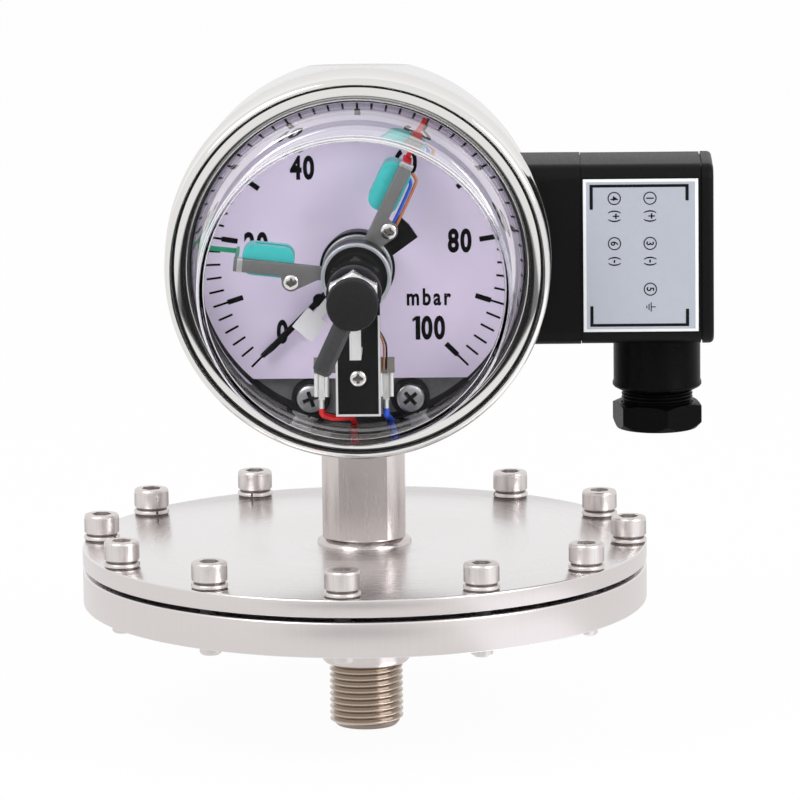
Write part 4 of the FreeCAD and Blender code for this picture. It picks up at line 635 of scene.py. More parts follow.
    def letter(self, words: str, middle: tuple[float, float], level: float, style: Lettering) -> None:
        """Add raised letters.

        Args:
            words: The letters.
            middle: Middle of the words.
            level: Height of the surface that carries them.
            style: Style of the letters.
        """
        curve = bpy.data.curves.new("letters", "FONT")
        curve.body = words
        curve.align_x = "CENTER"
        curve.align_y = "CENTER"
        curve.size = style.height / style.figure_share
        curve.offset = style.weight
        curve.space_character = style.spacing
        curve.resolution_u = 4
        flat = curve_mesh(curve)
        sheet = bmesh.new()
        sheet.from_mesh(flat)
        xs = [vertex.co.x for vertex in sheet.verts]
        ys = [vertex.co.y for vertex in sheet.verts]
        centre = Vector((-(min(xs) + max(xs)) / 2.0, -(min(ys) + max(ys)) / 2.0, 0.0))
        bmesh.ops.translate(sheet, verts=sheet.verts, vec=centre)
        grown = bmesh.ops.extrude_face_region(sheet, geom=sheet.faces[:])["geom"]
        raised = [item for item in grown if isinstance(item, bmesh.types.BMVert)]
        bmesh.ops.translate(sheet, verts=raised, vec=(0.0, 0.0, style.thickness))
        bpy.data.meshes.remove(flat)
        turn = Matrix.Rotation(math.radians(-style.turn), 4, "Z")
        place = Matrix.Translation((*middle, level)) @ turn @ Matrix.Diagonal((style.squeeze, 1.0, 1.0, 1.0))
        self.join(Workpiece("letters", mesh=sheet), place)

    def soften(self, width: float, segments: int = 3, angle: float = 30.0) -> None:
        """Bevel every edge that is sharper than an angle.

        Args:
            width: Width of the bevel.
            segments: Segments of the bevel.
            angle: Least angle between the faces of a sharp edge, in degrees.
        """
        bmesh.ops.recalc_face_normals(self.mesh, faces=self.mesh.faces)
        limit = math.radians(angle)
        sharp = [edge for edge in self.mesh.edges if edge.is_manifold and edge.calc_face_angle(0.0) > limit]
        self.bevel(sharp, width, segments)

    def bevel(self, edges: Sequence[bmesh.types.BMEdge], width: float, segments: int) -> None:
        """Round some edges.

        Args:
            edges: The edges.
            width: Width of the bevel.
            segments: Segments of the bevel.
        """
        bmesh.ops.bevel(self.mesh, geom=edges, offset=width, offset_type="OFFSET", affect="EDGES",
                        segments=segments, profile=0.5, material=-1, clamp_overlap=True)

    def shade(self, index: int, chosen: Callable[[Vector], bool]) -> None:
        """Give some faces another finish.

        Args:
            index: Index of the finish.
            chosen: Test of a face's middle in the local frame.
        """
        for face in self.mesh.faces:
            if chosen(face.calc_center_median()):
                face.material_index = index

    def finish(self, finish: Finish | ClearFinish, body: str, replaces: Sequence[str] = (), slot: str = "",
               smooth_angle: float = 35.0, others: Sequence[Finish] = ()) -> bpy.types.Object:
        """Make the object, in metres at the origin, and let it ride on a body.

        Args:
            finish: Finish of the piece.
            body: Body that the piece moves with.
            replaces: Nodes that the piece stands for.
            slot: Material slot of the record that the piece belongs to. It is not used.
            smooth_angle: Edges sharper than this stay sharp, in degrees.
            others: Finishes of the faces with an index of 1 or more.

        Returns:
            The finished object.
        """
        bmesh.ops.recalc_face_normals(self.mesh, faces=self.mesh.faces)
        bmesh.ops.transform(self.mesh, matrix=Matrix.Scale(MM, 4) @ self.place, verts=self.mesh.verts)
        data = bpy.data.meshes.new(self.name)
        self.mesh.to_mesh(data)
        self.mesh.free()
        data.shade_smooth()
        data.set_sharp_from_angle(angle=math.radians(smooth_angle))
        item = bpy.data.objects.new(self.name, data)
        bpy.context.scene.collection.objects.link(item)
        for each in (finish, *others):
            data.materials.append(each.material())
        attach(item, body)
        if replaces:
            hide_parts(*replaces)
        LOG.info("%s: %d faces on %s", self.name, len(data.polygons), body)
        return item


@dataclass
class ProcessSide:
    """Threaded connection and the two flanges with their screws, on the stem's axis.

    The profiles hold radius and height. The weld's and the washer's heights are above the flange, and the
    head's above its seat.
    """

    flange_radius: float = 80.0
    lower_bottom: float = 18.6
    lower_top: float = 28.6
    upper_bottom: float = 29.8
    upper_top: float = 35.0
    lower_bore: float = 3.0
    chamber_radius: float = 60.0
    chamber_depth: float = 2.8
    edge: float = 0.6
    port_radius: float = 4.0
    weld: Profile = ((11.0, 0.0), (13.4, 0.0), (13.2, 0.6), (12.6, 1.2), (11.9, 1.7), (11.0, 2.0))
    boss: Profile = ((10.3, 0.0), (11.9, 0.5), (12.4, 1.1), (12.5, 1.9), (12.5, 15.8), (12.9, 16.9),
                     (13.9, 18.0), (14.0, 18.6))
    thread_radius: float = 10.4775
    thread_root: float = 9.32
    thread_tip: float = 8.6
    thread_length: float = 18.0
    thread_pitch: float = 1.814
    thread_start: float = 0.25
    thread_chamfer: float = 0.9
    core_rise: float = 0.05
    ridge_floor: float = 0.06
    ridge_foot: float = 0.3
    ridge_points: int = 16
    ridge_power: float = 0.8
    ridge_steps: int = 64
    # The thread's roots, below this share of the ridge's depth, and its lowest tip_shade millimetres get
    # painted shade.
    root_share: float = 0.16
    tip_shade: float = 0.85
    boss_start: float = 0.02
    rim_depth: float = 0.1
    bolt_radius: float = 75.0
    bolt_count: int = 12
    bolt_lead: float = 3.4
    washer_height: float = 1.5
    # Height above the flange below which a washer gets painted shadow.
    washer_shade: float = 0.45
    washer: Profile = ((3.3, 0.0), (4.8, 0.0), (4.8, 0.25), (5.1, 0.5), (5.1, 1.15), (4.95, 1.38), (4.7, 1.5),
                       (3.3, 1.5))
    split_half: float = 0.35
    split_reach: tuple[float, float] = (2.0, 7.0)
    split_clock: float = 35.0
    head_height: float = 6.0
    head: Profile = ((4.35, 0.0), (4.4, 0.45), (4.85, 0.8), (4.97, 1.0), (4.97, 4.65), (4.9, 4.9),
                     (4.95, 5.05), (4.85, 5.6), (4.6, 5.9), (4.2, 6.0), (3.3, 6.0))
    head_sides: int = 72
    knurled: tuple[int, int] = (3, 4)
    knurl_share: float = 0.972
    # Heights about the seat of the waist under a head, which gets painted shade.
    waist: tuple[float, float] = (-0.1, 0.4)
    socket_radius: float = 2.89
    socket_depth: float = 3.0
    shank_end: float = 16.4
    shank_radius: float = 3.0
    shank_neck: float = 2.8
    neck_step: float = 0.1

    def build(self) -> None:
        """Build the connection, the flanges, the screws and the weld."""
        self.build_connection()
        self.build_flanges()
        self.build_screws()
        self.build_weld()

    def build_weld(self) -> None:
        """Lay the weld around the stem's foot."""
        piece = Workpiece("stem_weld")
        piece.turn([(radius, self.upper_top + height) for radius, height in self.weld], 96)
        piece.finish(STEM_STEEL, "housing", slot="steel", smooth_angle=60.0)

    def build_connection(self) -> None:
        """Turn the boss and the thread's core, and wind the thread's ridge around it."""
        piece = Workpiece("threaded_connection")
        bottom = -self.thread_length
        core = self.thread_root + self.core_rise
        piece.turn([(self.port_radius, bottom), (self.thread_tip, bottom),
                    (core, bottom + self.thread_chamfer), (core, 0.0), *self.boss,
                    (self.port_radius, self.lower_bottom)], 96)
        self._ridge(piece, bottom + self.thread_start)
        root = self.thread_root + self.root_share * (self.thread_radius - self.thread_root)
        # Painted shade on the thread's roots and its lower end; the boss gets the stem's steel.
        piece.shade(2, lambda middle: middle.z < bottom + self.tip_shade or middle.xy.length < root)
        piece.shade(1, lambda middle: middle.z > self.boss_start)
        piece.finish(THREAD_STEEL, "housing", ["process_connection"], "steel",
                     others=(STEM_STEEL, THREAD_PAINTED_SHADE))

    def _ridge(self, piece: Workpiece, start: float) -> None:
        """Wind one ridge up the core as a screw.

        Args:
            piece: Workpiece that gets the ridge.
            start: Height of the ridge's lower end.
        """
        half = self.thread_pitch / 2.0
        floor = self.thread_root + self.ridge_floor
        foot = self.thread_root - self.ridge_foot
        section = [(foot, -half)]
        for step in range(self.ridge_points + 1):
            share = step / self.ridge_points
            wave = (0.5 - 0.5 * math.cos(math.tau * share)) ** self.ridge_power
            section.append((floor + (self.thread_radius - floor) * wave, half * (2.0 * share - 1.0)))
        section.append((foot, half))
        rim = [piece.mesh.verts.new((0.0, radius, start + half + height)) for radius, height in section]
        edges = [piece.mesh.edges.new(pair) for pair in zip(rim, rim[1:] + rim[:1])]
        count = int((self.thread_length - self.thread_start) / self.thread_pitch * self.ridge_steps)
        grown = bmesh.ops.spin(piece.mesh, geom=rim + edges, cent=(0.0, 0.0, 0.0), axis=(0.0, 0.0, 1.0),
                               dvec=(0.0, 0.0, self.thread_pitch / self.ridge_steps),
                               angle=math.tau * count / self.ridge_steps, steps=count)
        piece.mesh.faces.new(rim)
        piece.mesh.faces.new([item for item in grown["geom_last"] if isinstance(item, bmesh.types.BMVert)])

    def build_flanges(self) -> None:
        """Turn the two flanges with their chambers, and give their turned sides a rougher finish whose darker
        colour is painted shade.
        """
        radius = self.flange_radius
        floor = self.lower_top - self.chamber_depth
        roof = self.upper_bottom + self.chamber_depth
        inner = self.chamber_radius - self.chamber_depth
        profiles = {
            "lower": [(self.lower_bore, self.lower_bottom), (radius, self.lower_bottom),
                      (radius, self.lower_top), (self.chamber_radius, self.lower_top), (inner, floor),
                      (self.lower_bore, floor)],
            "upper": [(self.port_radius, roof), (inner, roof), (self.chamber_radius, self.upper_bottom),
                      (radius, self.upper_bottom), (radius, self.upper_top),
                      (self.port_radius, self.upper_top)],
        }
        for side, profile in profiles.items():
            flange = Workpiece(f"{side}_flange_plate")
            flange.turn(profile, 256)
            flange.soften(self.edge, 3)
            # Painted shade: the turned sides get the darker rim finish.
            flange.shade(1, lambda middle: middle.xy.length > radius - self.rim_depth)
            flange.finish(FLANGE_STEEL, "housing", [f"{side}_flange"], "steel", others=(RIM_SHADED_STEEL,))

    def build_screws(self) -> None:
        """Make the socket head screws and their split washers, each kind as one group."""
        places = []
        for index in range(self.bolt_count):
            turn = Matrix.Rotation(math.radians(-self.bolt_lead + 360.0 * index / self.bolt_count), 4, "Z")
            places.append(turn @ Matrix.Translation((0.0, -self.bolt_radius, 0.0)))
        seat = self.upper_top + self.washer_height
        screws = Workpiece("socket_screws")
        screws.repeat(self._screw_head(seat), places)
        screws.repeat(self._screw_shank(seat), places)
        # Painted shade: the shanks are black between the flanges, where the gap lies in shade.
        screws.shade(1, lambda middle: self.lower_bottom < middle.z < self.upper_top)
        # Painted shade on the waist under each head.
        screws.shade(2, lambda middle: self.waist[0] < middle.z - seat < self.waist[1])
        screws.finish(SCREW_STEEL, "housing", ["flange_screws"], "screw_steel", others=(RUBBER, SCREW_PAINTED_SHADE))
        washers = Workpiece("split_washers")
        washers.repeat(self._washer(), places)
        # Painted shadow on the washers' lower edge by the flange.
        washers.shade(1, lambda middle: middle.z < self.upper_top + self.washer_shade)
        washers.finish(SCREW_STEEL, "housing", ["spring_washers"], "screw_steel", others=(SCREW_PAINTED_SHADE,))

    def _washer(self) -> Workpiece:
        """Turn one washer with rounded edges, and saw its split.

        Returns:
            The washer on the stem's axis.
        """
        washer = Workpiece("washer")
        washer.turn([(radius, self.upper_top + height) for radius, height in self.washer], 48)
        split = Workpiece("split")
        near, far = self.split_reach
        split.block((-self.split_half, near, self.upper_top - PAST),
                    (self.split_half, far, self.upper_top + self.washer_height + PAST), self.split_clock)
        washer.carve(split)
        return washer

    def _screw_head(self, seat: float) -> Workpiece:
        """Make one knurled head with a waist below, a rounded rim and a hexagon socket.

        Args:
            seat: Height of the head's seat.

        Returns:
            The head on the stem's axis.
        """
        top = seat + self.head_height
        single = bmesh.new()
        for level, (radius, height) in enumerate(self.head):
            loop = bmesh.ops.create_circle(single, cap_ends=False, segments=self.head_sides, radius=radius,
                                           matrix=Matrix.Translation((0.0, 0.0, seat + height)))["verts"]
            if level in self.knurled:
                for vertex in loop[::2]:
                    vertex.co.x *= self.knurl_share
                    vertex.co.y *= self.knurl_share
        bmesh.ops.bridge_loops(single, edges=single.edges[:])
        socket = []
        for height in (top, top - self.socket_depth):
            socket += bmesh.ops.create_circle(single, cap_ends=height < top, segments=6,
                                              radius=self.socket_radius,
                                              matrix=Matrix.Translation((0.0, 0.0, height)))["verts"]
        walls = [edge for vertex in socket for edge in vertex.link_edges]
        bmesh.ops.bridge_loops(single, edges=list(dict.fromkeys(walls)))
        inner = [edge for edge in single.edges if edge.is_boundary and edge.verts[0].co.z > top - HAIR]
        bmesh.ops.bridge_loops(single, edges=inner)
        return Workpiece("head", mesh=single)

    def _screw_shank(self, seat: float) -> Workpiece:
        """Turn one shank, from its chamfered end to the head's seat, with a neck inside the flanges.

        Args:
            seat: Height of the head's seat.

        Returns:
            The shank on the stem's axis.
        """
        radius = self.shank_radius
        neck = self.shank_neck
        cap = self.head[0][0]
        shank = Workpiece("shank")
        end = self.shank_end
        low = self.lower_bottom
        high = self.upper_top
        step = self.neck_step
        shank.turn([(0.0, end), (radius - self.edge, end), (radius, end + self.edge), (radius, low),
                    (neck, low + step), (neck, high - step), (radius, high), (radius, seat), (cap, seat),
                    (cap, seat + HAIR), (0.0, seat + HAIR)], 32)
        return shank


@dataclass
class Head:
    """Case, bezel, window, the dial's black surround and the dial's print, on the dial's axis.

    The rear bead's points are offsets from the skirt and the bezel's rear, the valley wall's from the valley
    and the lip's front, and the surround's levels from the base plate.
    """

    bezel_bore: float = 51.8
    bezel_skirt: float = 53.2
    bezel_rear: float = 26.0
    rear_bead: Profile = ((0.3, 0.0), (0.6, 0.4), (0.6, 2.6), (0.3, 3.1), (0.0, 3.5))
    bead_radius: float = 1.7
    bead_foot: float = 0.6
    bead_drop: float = 0.2
    valley_gap: float = 0.4
    valley_wall: Profile = ((0.25, 1.35), (0.08, 1.0), (0.0, 0.4), (0.0, -0.5))
    lip: float = 46.6
    lip_back: float = 42.2
    lip_front: float = 44.4
    lip_drop: float = 0.4
    lip_rise: float = 0.9
    lip_power: float = 0.8
    lip_lean: float = 0.25
    lip_points: int = 16
    # Half width of the painted shade in the valley, and its reach past the lip.
    black_half: float = 0.3
    black_lip: float = 0.4
    adjuster_bore: float = 4.05
    window_base: float = 46.0
    window_flange: float = 51.2
    window_nose: float = 42.7
    window_round: float = 1.1
    window_bend: float = 0.3
    window_strip: float = 0.1
    window_slope: tuple[float, float] = (0.12, 0.2)
    window_seat: float = 41.0
    window_front: float = 81.0
    window_wall: float = 1.8
    case_radius: float = 51.6
    case_back: float = -14.0
    case_front: float = 38.5
    case_wall: float = 1.5
    case_round: float = 6.0
    case_strip: float = 0.3
    case_flat: float = 49.4
    flat_end: float = 24.5
    dial_face: float = 26.2
    dial_radius: float = 46.0
    dial_edge: float = 44.9
    dial_cut: float = -33.6
    plate_face: float = 22.5
    plate_radius: float = 46.6
    plate_play: float = 0.05
    surround_radius: float = 47.6
    surround_levels: tuple[float, float] = (-1.0, 0.6)
    coat: float = 0.04
    print_height: float = 0.06
    scale_start: float = -135.0
    tick_turn: float = 5.4
    tick_count: int = 51
    tick_outer: float = 42.7
    tick_inner: float = 38.5
    tick_half: float = 0.3
    bold_inner: float = 34.0
    bold_half: float = 0.72
    bold_every: int = 5
    figures: tuple[tuple[str, tuple[float, float]], ...] = (
        ("0", (-21.5, -20.3)), ("20", (-28.5, 4.5)), ("40", (-15.4, 25.8)), ("60", (13.2, 27.3)),
        ("80", (28.1, 5.0)), ("00", (20.5, -19.5)))
    figure_one: Profile = ((15.6, -22.85), (16.9, -22.85), (16.9, -16.2), (15.75, -16.2), (14.75, -16.95),
                           (14.75, -17.8), (15.6, -17.35))
    figure_style: Lettering = Lettering(6.3, squeeze=0.69, weight=0.36, spacing=1.16)
    unit_middle: tuple[float, float] = (19.4, -10.8)
    unit_style: Lettering = Lettering(4.7, squeeze=0.74, weight=0.2, spacing=1.3)

    def build(self) -> None:
        """Build the case, the bezel, the window and the surround, then print the dial."""
        self.build_case()
        self.build_bezel()
        self.build_window()
        self.build_surround()
        self.print_dial()

    def build_case(self) -> None:
        """Turn the drawn case, press the flat on its top and hollow it."""
        case = Workpiece("drawn_case", on_dial())
        self._drum(case, self.case_radius, self.case_back, self.case_round)
        flat = Workpiece("flat")
        flat.block((-FAR, self.case_flat, -FAR), (FAR, FAR, self.flat_end))
        case.carve(flat)
        room = Workpiece("room")
        self._drum(room, self.case_radius - self.case_wall, self.case_back + self.case_wall,
                   self.case_round - self.case_wall, PAST)
        roof = Workpiece("roof")
        roof.block((-FAR, self.case_flat - self.case_wall, -FAR), (FAR, FAR, FAR))
        room.carve(roof)
        case.carve(room)
        case.finish(CASE_STEEL, "housing", ["case"], "polished_steel", 32.0)

    def _drum(self, piece: Workpiece, radius: float, back: float, bend: float, beyond: float = 0.0) -> None:
        """Turn a closed drum with a rounded back edge.

        Args:
            piece: Workpiece that gets the drum.
            radius: Radius of the drum.
            back: Height of its back.
            bend: Radius of the rounded edge.
            beyond: How far it stands past the case's front.
        """
        front = self.case_front + beyond
        rounded = arc((radius - bend, back + bend), bend, -90.0, 0.0, 12)
        strip = bend + self.case_strip
        piece.turn([(0.0, back), (radius - strip, back), *rounded, (radius, back + strip), (radius, front),
                    (0.0, front)], 192)

    def build_bezel(self) -> None:
        """Turn the rolled bezel: its rear bead, its front bead, the valley and the lip, with painted shade in
        the valley and at the lip's inner edge.
        """
        piece = Workpiece("bezel_ring", on_dial())
        skirt = self.bezel_skirt
        front = self.lip_front
        bead = self.bead_radius
        valley = skirt - bead - self.valley_gap
        profile = [(self.bezel_bore, self.bezel_rear)]
        profile += [(skirt + out, self.bezel_rear + up) for out, up in self.rear_bead]
        foot = front - self.bead_foot
        profile += [(skirt, foot), *arc((skirt - bead, front - self.bead_drop), bead, 0.0, 90.0, 14)[1:]]
        profile += [(valley + out, front + up) for out, up in self.valley_wall]
        for step in range(self.lip_points + 1):
            turn = math.pi * step / self.lip_points
            lean = 1.0 - self.lip_lean * (1.0 + math.cos(turn))
            rise = self.lip_rise * math.sin(turn) ** self.lip_power * lean
            across = self.lip + (valley - self.lip) * (0.5 + 0.5 * math.cos(turn))
            profile.append((across, front - self.lip_drop + rise))
        profile += [(self.lip, self.lip_back), (self.bezel_bore, self.lip_back)]
        piece.turn(profile, 720)
        # Painted shade: black in the valley's bottom and at the lip's inner edge.
        piece.shade(1, lambda middle: middle.z > foot and (
            abs(middle.xy.length - valley) < self.black_half or middle.xy.length < self.lip + self.black_lip))
        piece.finish(BEZEL_STEEL, "housing", ["bezel"], "polished_steel", 40.0, (RUBBER,))

    def build_window(self) -> None:
        """Turn the raised window with its flange and rounded nose."""
        piece = Workpiece("raised_window", on_dial())
        wall = self.window_wall
        nose = self.window_nose
        front = self.window_front
        edge = self.window_round
        strip = self.window_strip
        out, down = self.window_slope
        outer = [(self.adjuster_bore, front), (nose - edge - strip, front), (nose - edge, front),
                 *arc((nose - edge, front - edge), edge, 90.0, 0.0, 10)[1:-1], (nose + strip, front - edge),
                 (nose + out, front - edge - down), (self.window_base, self.window_seat),
                 (self.window_flange, self.window_seat), (self.window_flange, self.case_front)]
        bend = self.window_bend
        inside = front - wall
        corner = nose - wall + strip
        middle = corner - bend
        inner = [(self.window_base - wall, self.case_front), (corner + out, inside - bend - down),
                 *arc((middle, inside - bend), bend, 0.0, 90.0, 10)[1:-1], (middle, inside),
                 (middle - strip, inside), (self.adjuster_bore, inside)]
        piece.turn(outer + inner, 256)
        window = piece.finish(CLEAR_WINDOW, "housing", ["window"], "clear_window", 30.0)
        window.visible_shadow = False
        window.visible_diffuse = False

    def build_surround(self) -> None:
        """Lay the black ring around the dial: on its edge, on the base plate and beyond the plate's edge."""
        piece = Workpiece("dial_surround", on_dial())
        border = Workpiece("border")
        border.turn(ring(self.dial_edge, self.dial_radius, self.dial_face, self.dial_face + self.coat), 192)
        below = Workpiece("below")
        below.block((-FAR, -FAR, self.plate_face), (FAR, self.dial_cut, FAR))
        border.carve(below)
        piece.join(border, Matrix())
        plate = self.plate_face
        play = self.plate_play
        piece.turn(ring(self.dial_edge, self.plate_radius - play, plate, plate + self.coat), 192)
        low, high = self.surround_levels
        piece.turn(ring(self.plate_radius + play, self.surround_radius, plate + low, plate + high), 192)
        piece.finish(RUBBER, "housing", slot="gasket_rubber")

    def print_dial(self) -> None:
        """Print the scale, its figures and its unit on the dial."""
        piece = Workpiece("dial_print", on_dial())
        low = self.dial_face
        high = self.dial_face + self.print_height
        for step in range(self.tick_count):
            clock = self.scale_start + self.tick_turn * step
            piece.block((-self.tick_half, self.tick_inner, low),
                        (self.tick_half, self.tick_outer, high), clock)
            if step % self.bold_every == 0:
                piece.block((-self.bold_half, self.bold_inner, low),
                            (self.bold_half, self.tick_inner, high), clock)
        for figure, middle in self.figures:
            piece.letter(figure, middle, low, self.figure_style)
        piece.plate(self.figure_one, low, high)
        piece.letter("mbar", self.unit_middle, low, self.unit_style)
        piece.finish(PRINT_BLACK, "housing", slot="dial_paint")


@dataclass
class ConnectorLabel:
    """Plain wiring label on the connector's front: numbered terminals with their signs.

    The marks' insets are from the left, the right and both ends. Their lengths are from the upper and the
    lower end, for the left line and the right line. A sign has its number, its mark and its place from the
    label's left and top.
    """

    left: float = 62.4
    right: float = 94.4
    top: float = 21.6
    bottom: float = -21.4
    level: float = 25.0
    border_height: float = 0.25
    border_edge: float = 0.12
    plate_inset: tuple[float, float] = (0.9, 0.8)
    plate_back: float = 0.2
    plate_height: float = 0.3
    print_height: float = 0.05
    mark_insets: tuple[float, float, float] = (2.3, 3.1, 1.9)
    mark_lengths: tuple[tuple[float, float], tuple[float, float]] = ((6.6, 5.4), (4.2, 4.5))
    line_half: tuple[float, float] = (0.45, 0.4)
    circle: tuple[float, float] = (1.55, 1.85)
    sign_drop: float = 5.0
    signs: tuple[tuple[str, str, float, float], ...] = (
        ("1", "+", 18.6, 5.4), ("3", "-", 18.6, 18.1), ("5", "", 18.6, 31.0), ("4", "+", 8.7, 5.4),
        ("6", "-", 8.7, 18.1))
    number_style: Lettering = Lettering(2.1, squeeze=0.9, weight=0.05, turn=90.0)
    sign_style: Lettering = Lettering(2.6, squeeze=0.8, weight=0.06, turn=90.0)
    ground_stem: tuple[float, float] = (0.2, 1.5)
    ground_bars: tuple[float, ...] = (1.3, 0.85, 0.4)
    ground_step: float = 0.6
    stem_half: float = 0.12
    bar_half: float = 0.13

    def build(self) -> None:
        """Build the plate, its border and its signs."""
        border = Workpiece("label_border", on_dial())
        border.block((self.left, self.bottom, self.level),
                     (self.right, self.top, self.level + self.border_height))
        border.soften(self.border_edge, 2)
        border.finish(LABEL_WHITE, "housing", slot="connector_black")
        plate = Workpiece("label_plate", on_dial())
        across, along = self.plate_inset
        plate.block((self.left + across, self.bottom + along, self.level + self.plate_back),
                    (self.right - across, self.top - along, self.level + self.plate_height))
        plate.finish(LABEL_GREY, "housing", slot="connector_black")
        self.print_signs()

    def print_signs(self) -> None:
        """Print corner marks, terminal numbers and their signs, turned to be read from the right."""
        piece = Workpiece("label_print", on_dial())
        low = self.level + self.plate_height
        high = low + self.print_height
        wide, tall = self.line_half
        x_left = self.left + self.mark_insets[0]
        x_right = self.right - self.mark_insets[1]
        y_top = self.top - self.mark_insets[2]
        y_bottom = self.bottom + self.mark_insets[2]
        for y in (y_top, y_bottom):
            piece.block((x_left - wide, y - tall, low), (x_right + wide, y + tall, high))
        for x, (fall, rise) in zip((x_left, x_right), self.mark_lengths):
            piece.block((x - wide, y_top - fall, low), (x + wide, y_top - tall, high))
            piece.block((x - wide, y_bottom + tall, low), (x + wide, y_bottom + rise, high))
        for number, sign, across, down in self.signs:
            x = self.left + across
            y = self.top - down
            piece.turn(ring(*self.circle, low, high), 32, (x, y))
            piece.letter(number, (x, y), low - HAIR, self.number_style)
            if sign:
                piece.letter(f"({sign})", (x, y - self.sign_drop), low - HAIR, self.sign_style)
            else:
                self._ground(piece, (x, y - self.sign_drop), low, high)
        piece.finish(PRINT_BLACK, "housing", slot="connector_black")

    def _ground(self, piece: Workpiece, middle: tuple[float, float], low: float, high: float) -> None:
        """Print the sign for earth: a stem and three shortening bars.

        Args:
            piece: Workpiece of the print.
            middle: Middle of the sign.
            low: Back of the print.
            high: Front of the print.
        """
        x, y = middle
        foot, tip = self.ground_stem
        piece.block((x + foot, y - self.stem_half, low), (x + tip, y + self.stem_half, high))
        for step, half in enumerate(self.ground_bars):
            across = x + foot - self.ground_step * step
            piece.block((across - self.bar_half, y - half, low), (across + self.bar_half, y + half, high))


@dataclass
class Adjuster:
    """Knob with its lever, the hexagon of the lock bush and its collar, on the dial's axis."""

    bore: float = 4.05
    collar_radius: float = 7.5
    collar_edge: float = 0.5
    window_front: float = 81.0
    hex_back: float = 87.0
    hex_front: float = 94.0
    hex_flats: float = 13.0
    hex_edge: float = 0.45
    tube_overlap: float = 0.5
    tube_back: float = 77.0
    tube_radius: float = 4.0
    tube_bore: float = 2.05
    spindle_end: float = 75.1
    spindle_radius: float = 2.0
    neck_back: float = 94.4
    neck_radius: float = 4.5
    knob_back: float = 98.0
    knob_front: float = 104.0
    knob_radius: float = 7.0
    back_edge: float = 0.7
    front_edge: float = 0.9
    lever_clock: float = 205.0
    lever_low: tuple[float, float, float] = (-2.6, 3.0, 99.0)
    lever_high: tuple[float, float, float] = (2.6, 21.0, 103.0)
    lever_edges: tuple[tuple[float, int], ...] = ((1.1, 1), (0.2, 2))

    def build(self) -> None:
        """Build the collar, the bush and the knob."""
        collar = Workpiece("lock_collar_ring", on_dial())
        collar.turn(ring(self.bore, self.collar_radius, self.window_front, self.hex_back), 96)
        collar.soften(self.collar_edge)
        collar.finish(KNOB_BLACK, "housing", ["lock_collar"], "black_plastic")
        self.build_bush()
        self.build_knob()

    def build_bush(self) -> None:
        """Make the plated hexagon and the tube behind it."""
        bush = Workpiece("lock_bush_hexagon", on_dial())
        bush.plate(hexagon(self.hex_flats), self.hex_back, self.hex_front)
        bush.soften(self.hex_edge)
        front = self.hex_back + self.tube_overlap
        bush.turn(ring(self.tube_bore, self.tube_radius, self.tube_back, front), 64)
        bush.finish(NICKEL, "housing", ["lock_bush"], "nickel")

    def build_knob(self) -> None:
        """Turn the knob with its neck and spindle, and add the lever."""
        knob = Workpiece("knob_grip", on_dial(self.lever_clock))
        radius = self.knob_radius
        back = self.knob_back
        front = self.knob_front
        edge = self.front_edge
        knob.turn([(0.0, self.spindle_end), (self.spindle_radius, self.spindle_end),
                   (self.spindle_radius, self.neck_back), (self.neck_radius, self.neck_back),
                   (self.neck_radius, back), (radius - self.back_edge, back), (radius, back + self.back_edge),
                   (radius, front - edge), (radius - 0.3 * edge, front - 0.3 * edge), (radius - edge, front),
                   (0.0, front)], 96)
        knob.finish(KNOB_BLACK, "adjuster", ["knob"], "black_plastic")
        lever = Workpiece("knob_lever", on_dial(self.lever_clock))
        lever.block(self.lever_low, self.lever_high)
        for width, segments in self.lever_edges:
            lever.soften(width, segments)
        lever.finish(LEVER_BLACK, "adjuster", slot="black_plastic")


class HeadForm(Enum):
    """Profiles of a cross recessed head: shares of its radius and of its height."""

    DOMED = ((1.0, 0.35), (0.93, 0.65), (0.75, 0.88), (0.45, 0.98))
    FLAT = ((1.0, 0.5), (0.95, 0.82), (0.86, 0.94), (0.74, 0.98))


@dataclass(frozen=True)
class PanScrew:
    """Pan head with a cross recess.

    The recess's sizes are shares: its reach, half width and most depth of the head's radius, its plain
    depth of the head's height. The recess's faces with painted shade lie within a share of the radius and
    below a share of the height.
    """

    radius: float
    low: float
    high: float
    form: HeadForm = HeadForm.DOMED
    recess_reach: float = 0.58
    recess_half: float = 0.15
    recess_depth: float = 0.75
    most_depth: float = 0.5
    dark_reach: float = 0.62
    dark_height: float = 0.8

    def build(self) -> Workpiece:
        """Turn the head, and cut its recess.

        Returns:
            The head on the local z axis, with index 1 on the recess.
        """
        radius, low, high = self.radius, self.low, self.high
        rise = high - low
        head = Workpiece("head")
        crown = [(share * radius, low + height * rise) for share, height in self.form.value]
        head.turn([(0.0, low), (radius, low), *crown, (0.0, high)], 48)
        cutter = Workpiece("recess")
        reach = self.recess_reach * radius
        half = self.recess_half * radius
        floor = high - min(self.recess_depth * rise, self.most_depth * radius)
        cutter.plate([(-reach, -half), (-half, -half), (-half, -reach), (half, -reach), (half, -half),
                      (reach, -half), (reach, half), (half, half), (half, reach), (-half, reach),
                      (-half, half), (-reach, half)], floor, high + PAST)
        head.carve(cutter)
        # Painted shade on the recess's walls and floor.
        within = self.dark_reach * radius
        below = low + self.dark_height * rise
        head.shade(1, lambda middle: middle.xy.length < within and low + HAIR < middle.z < below)
        return head


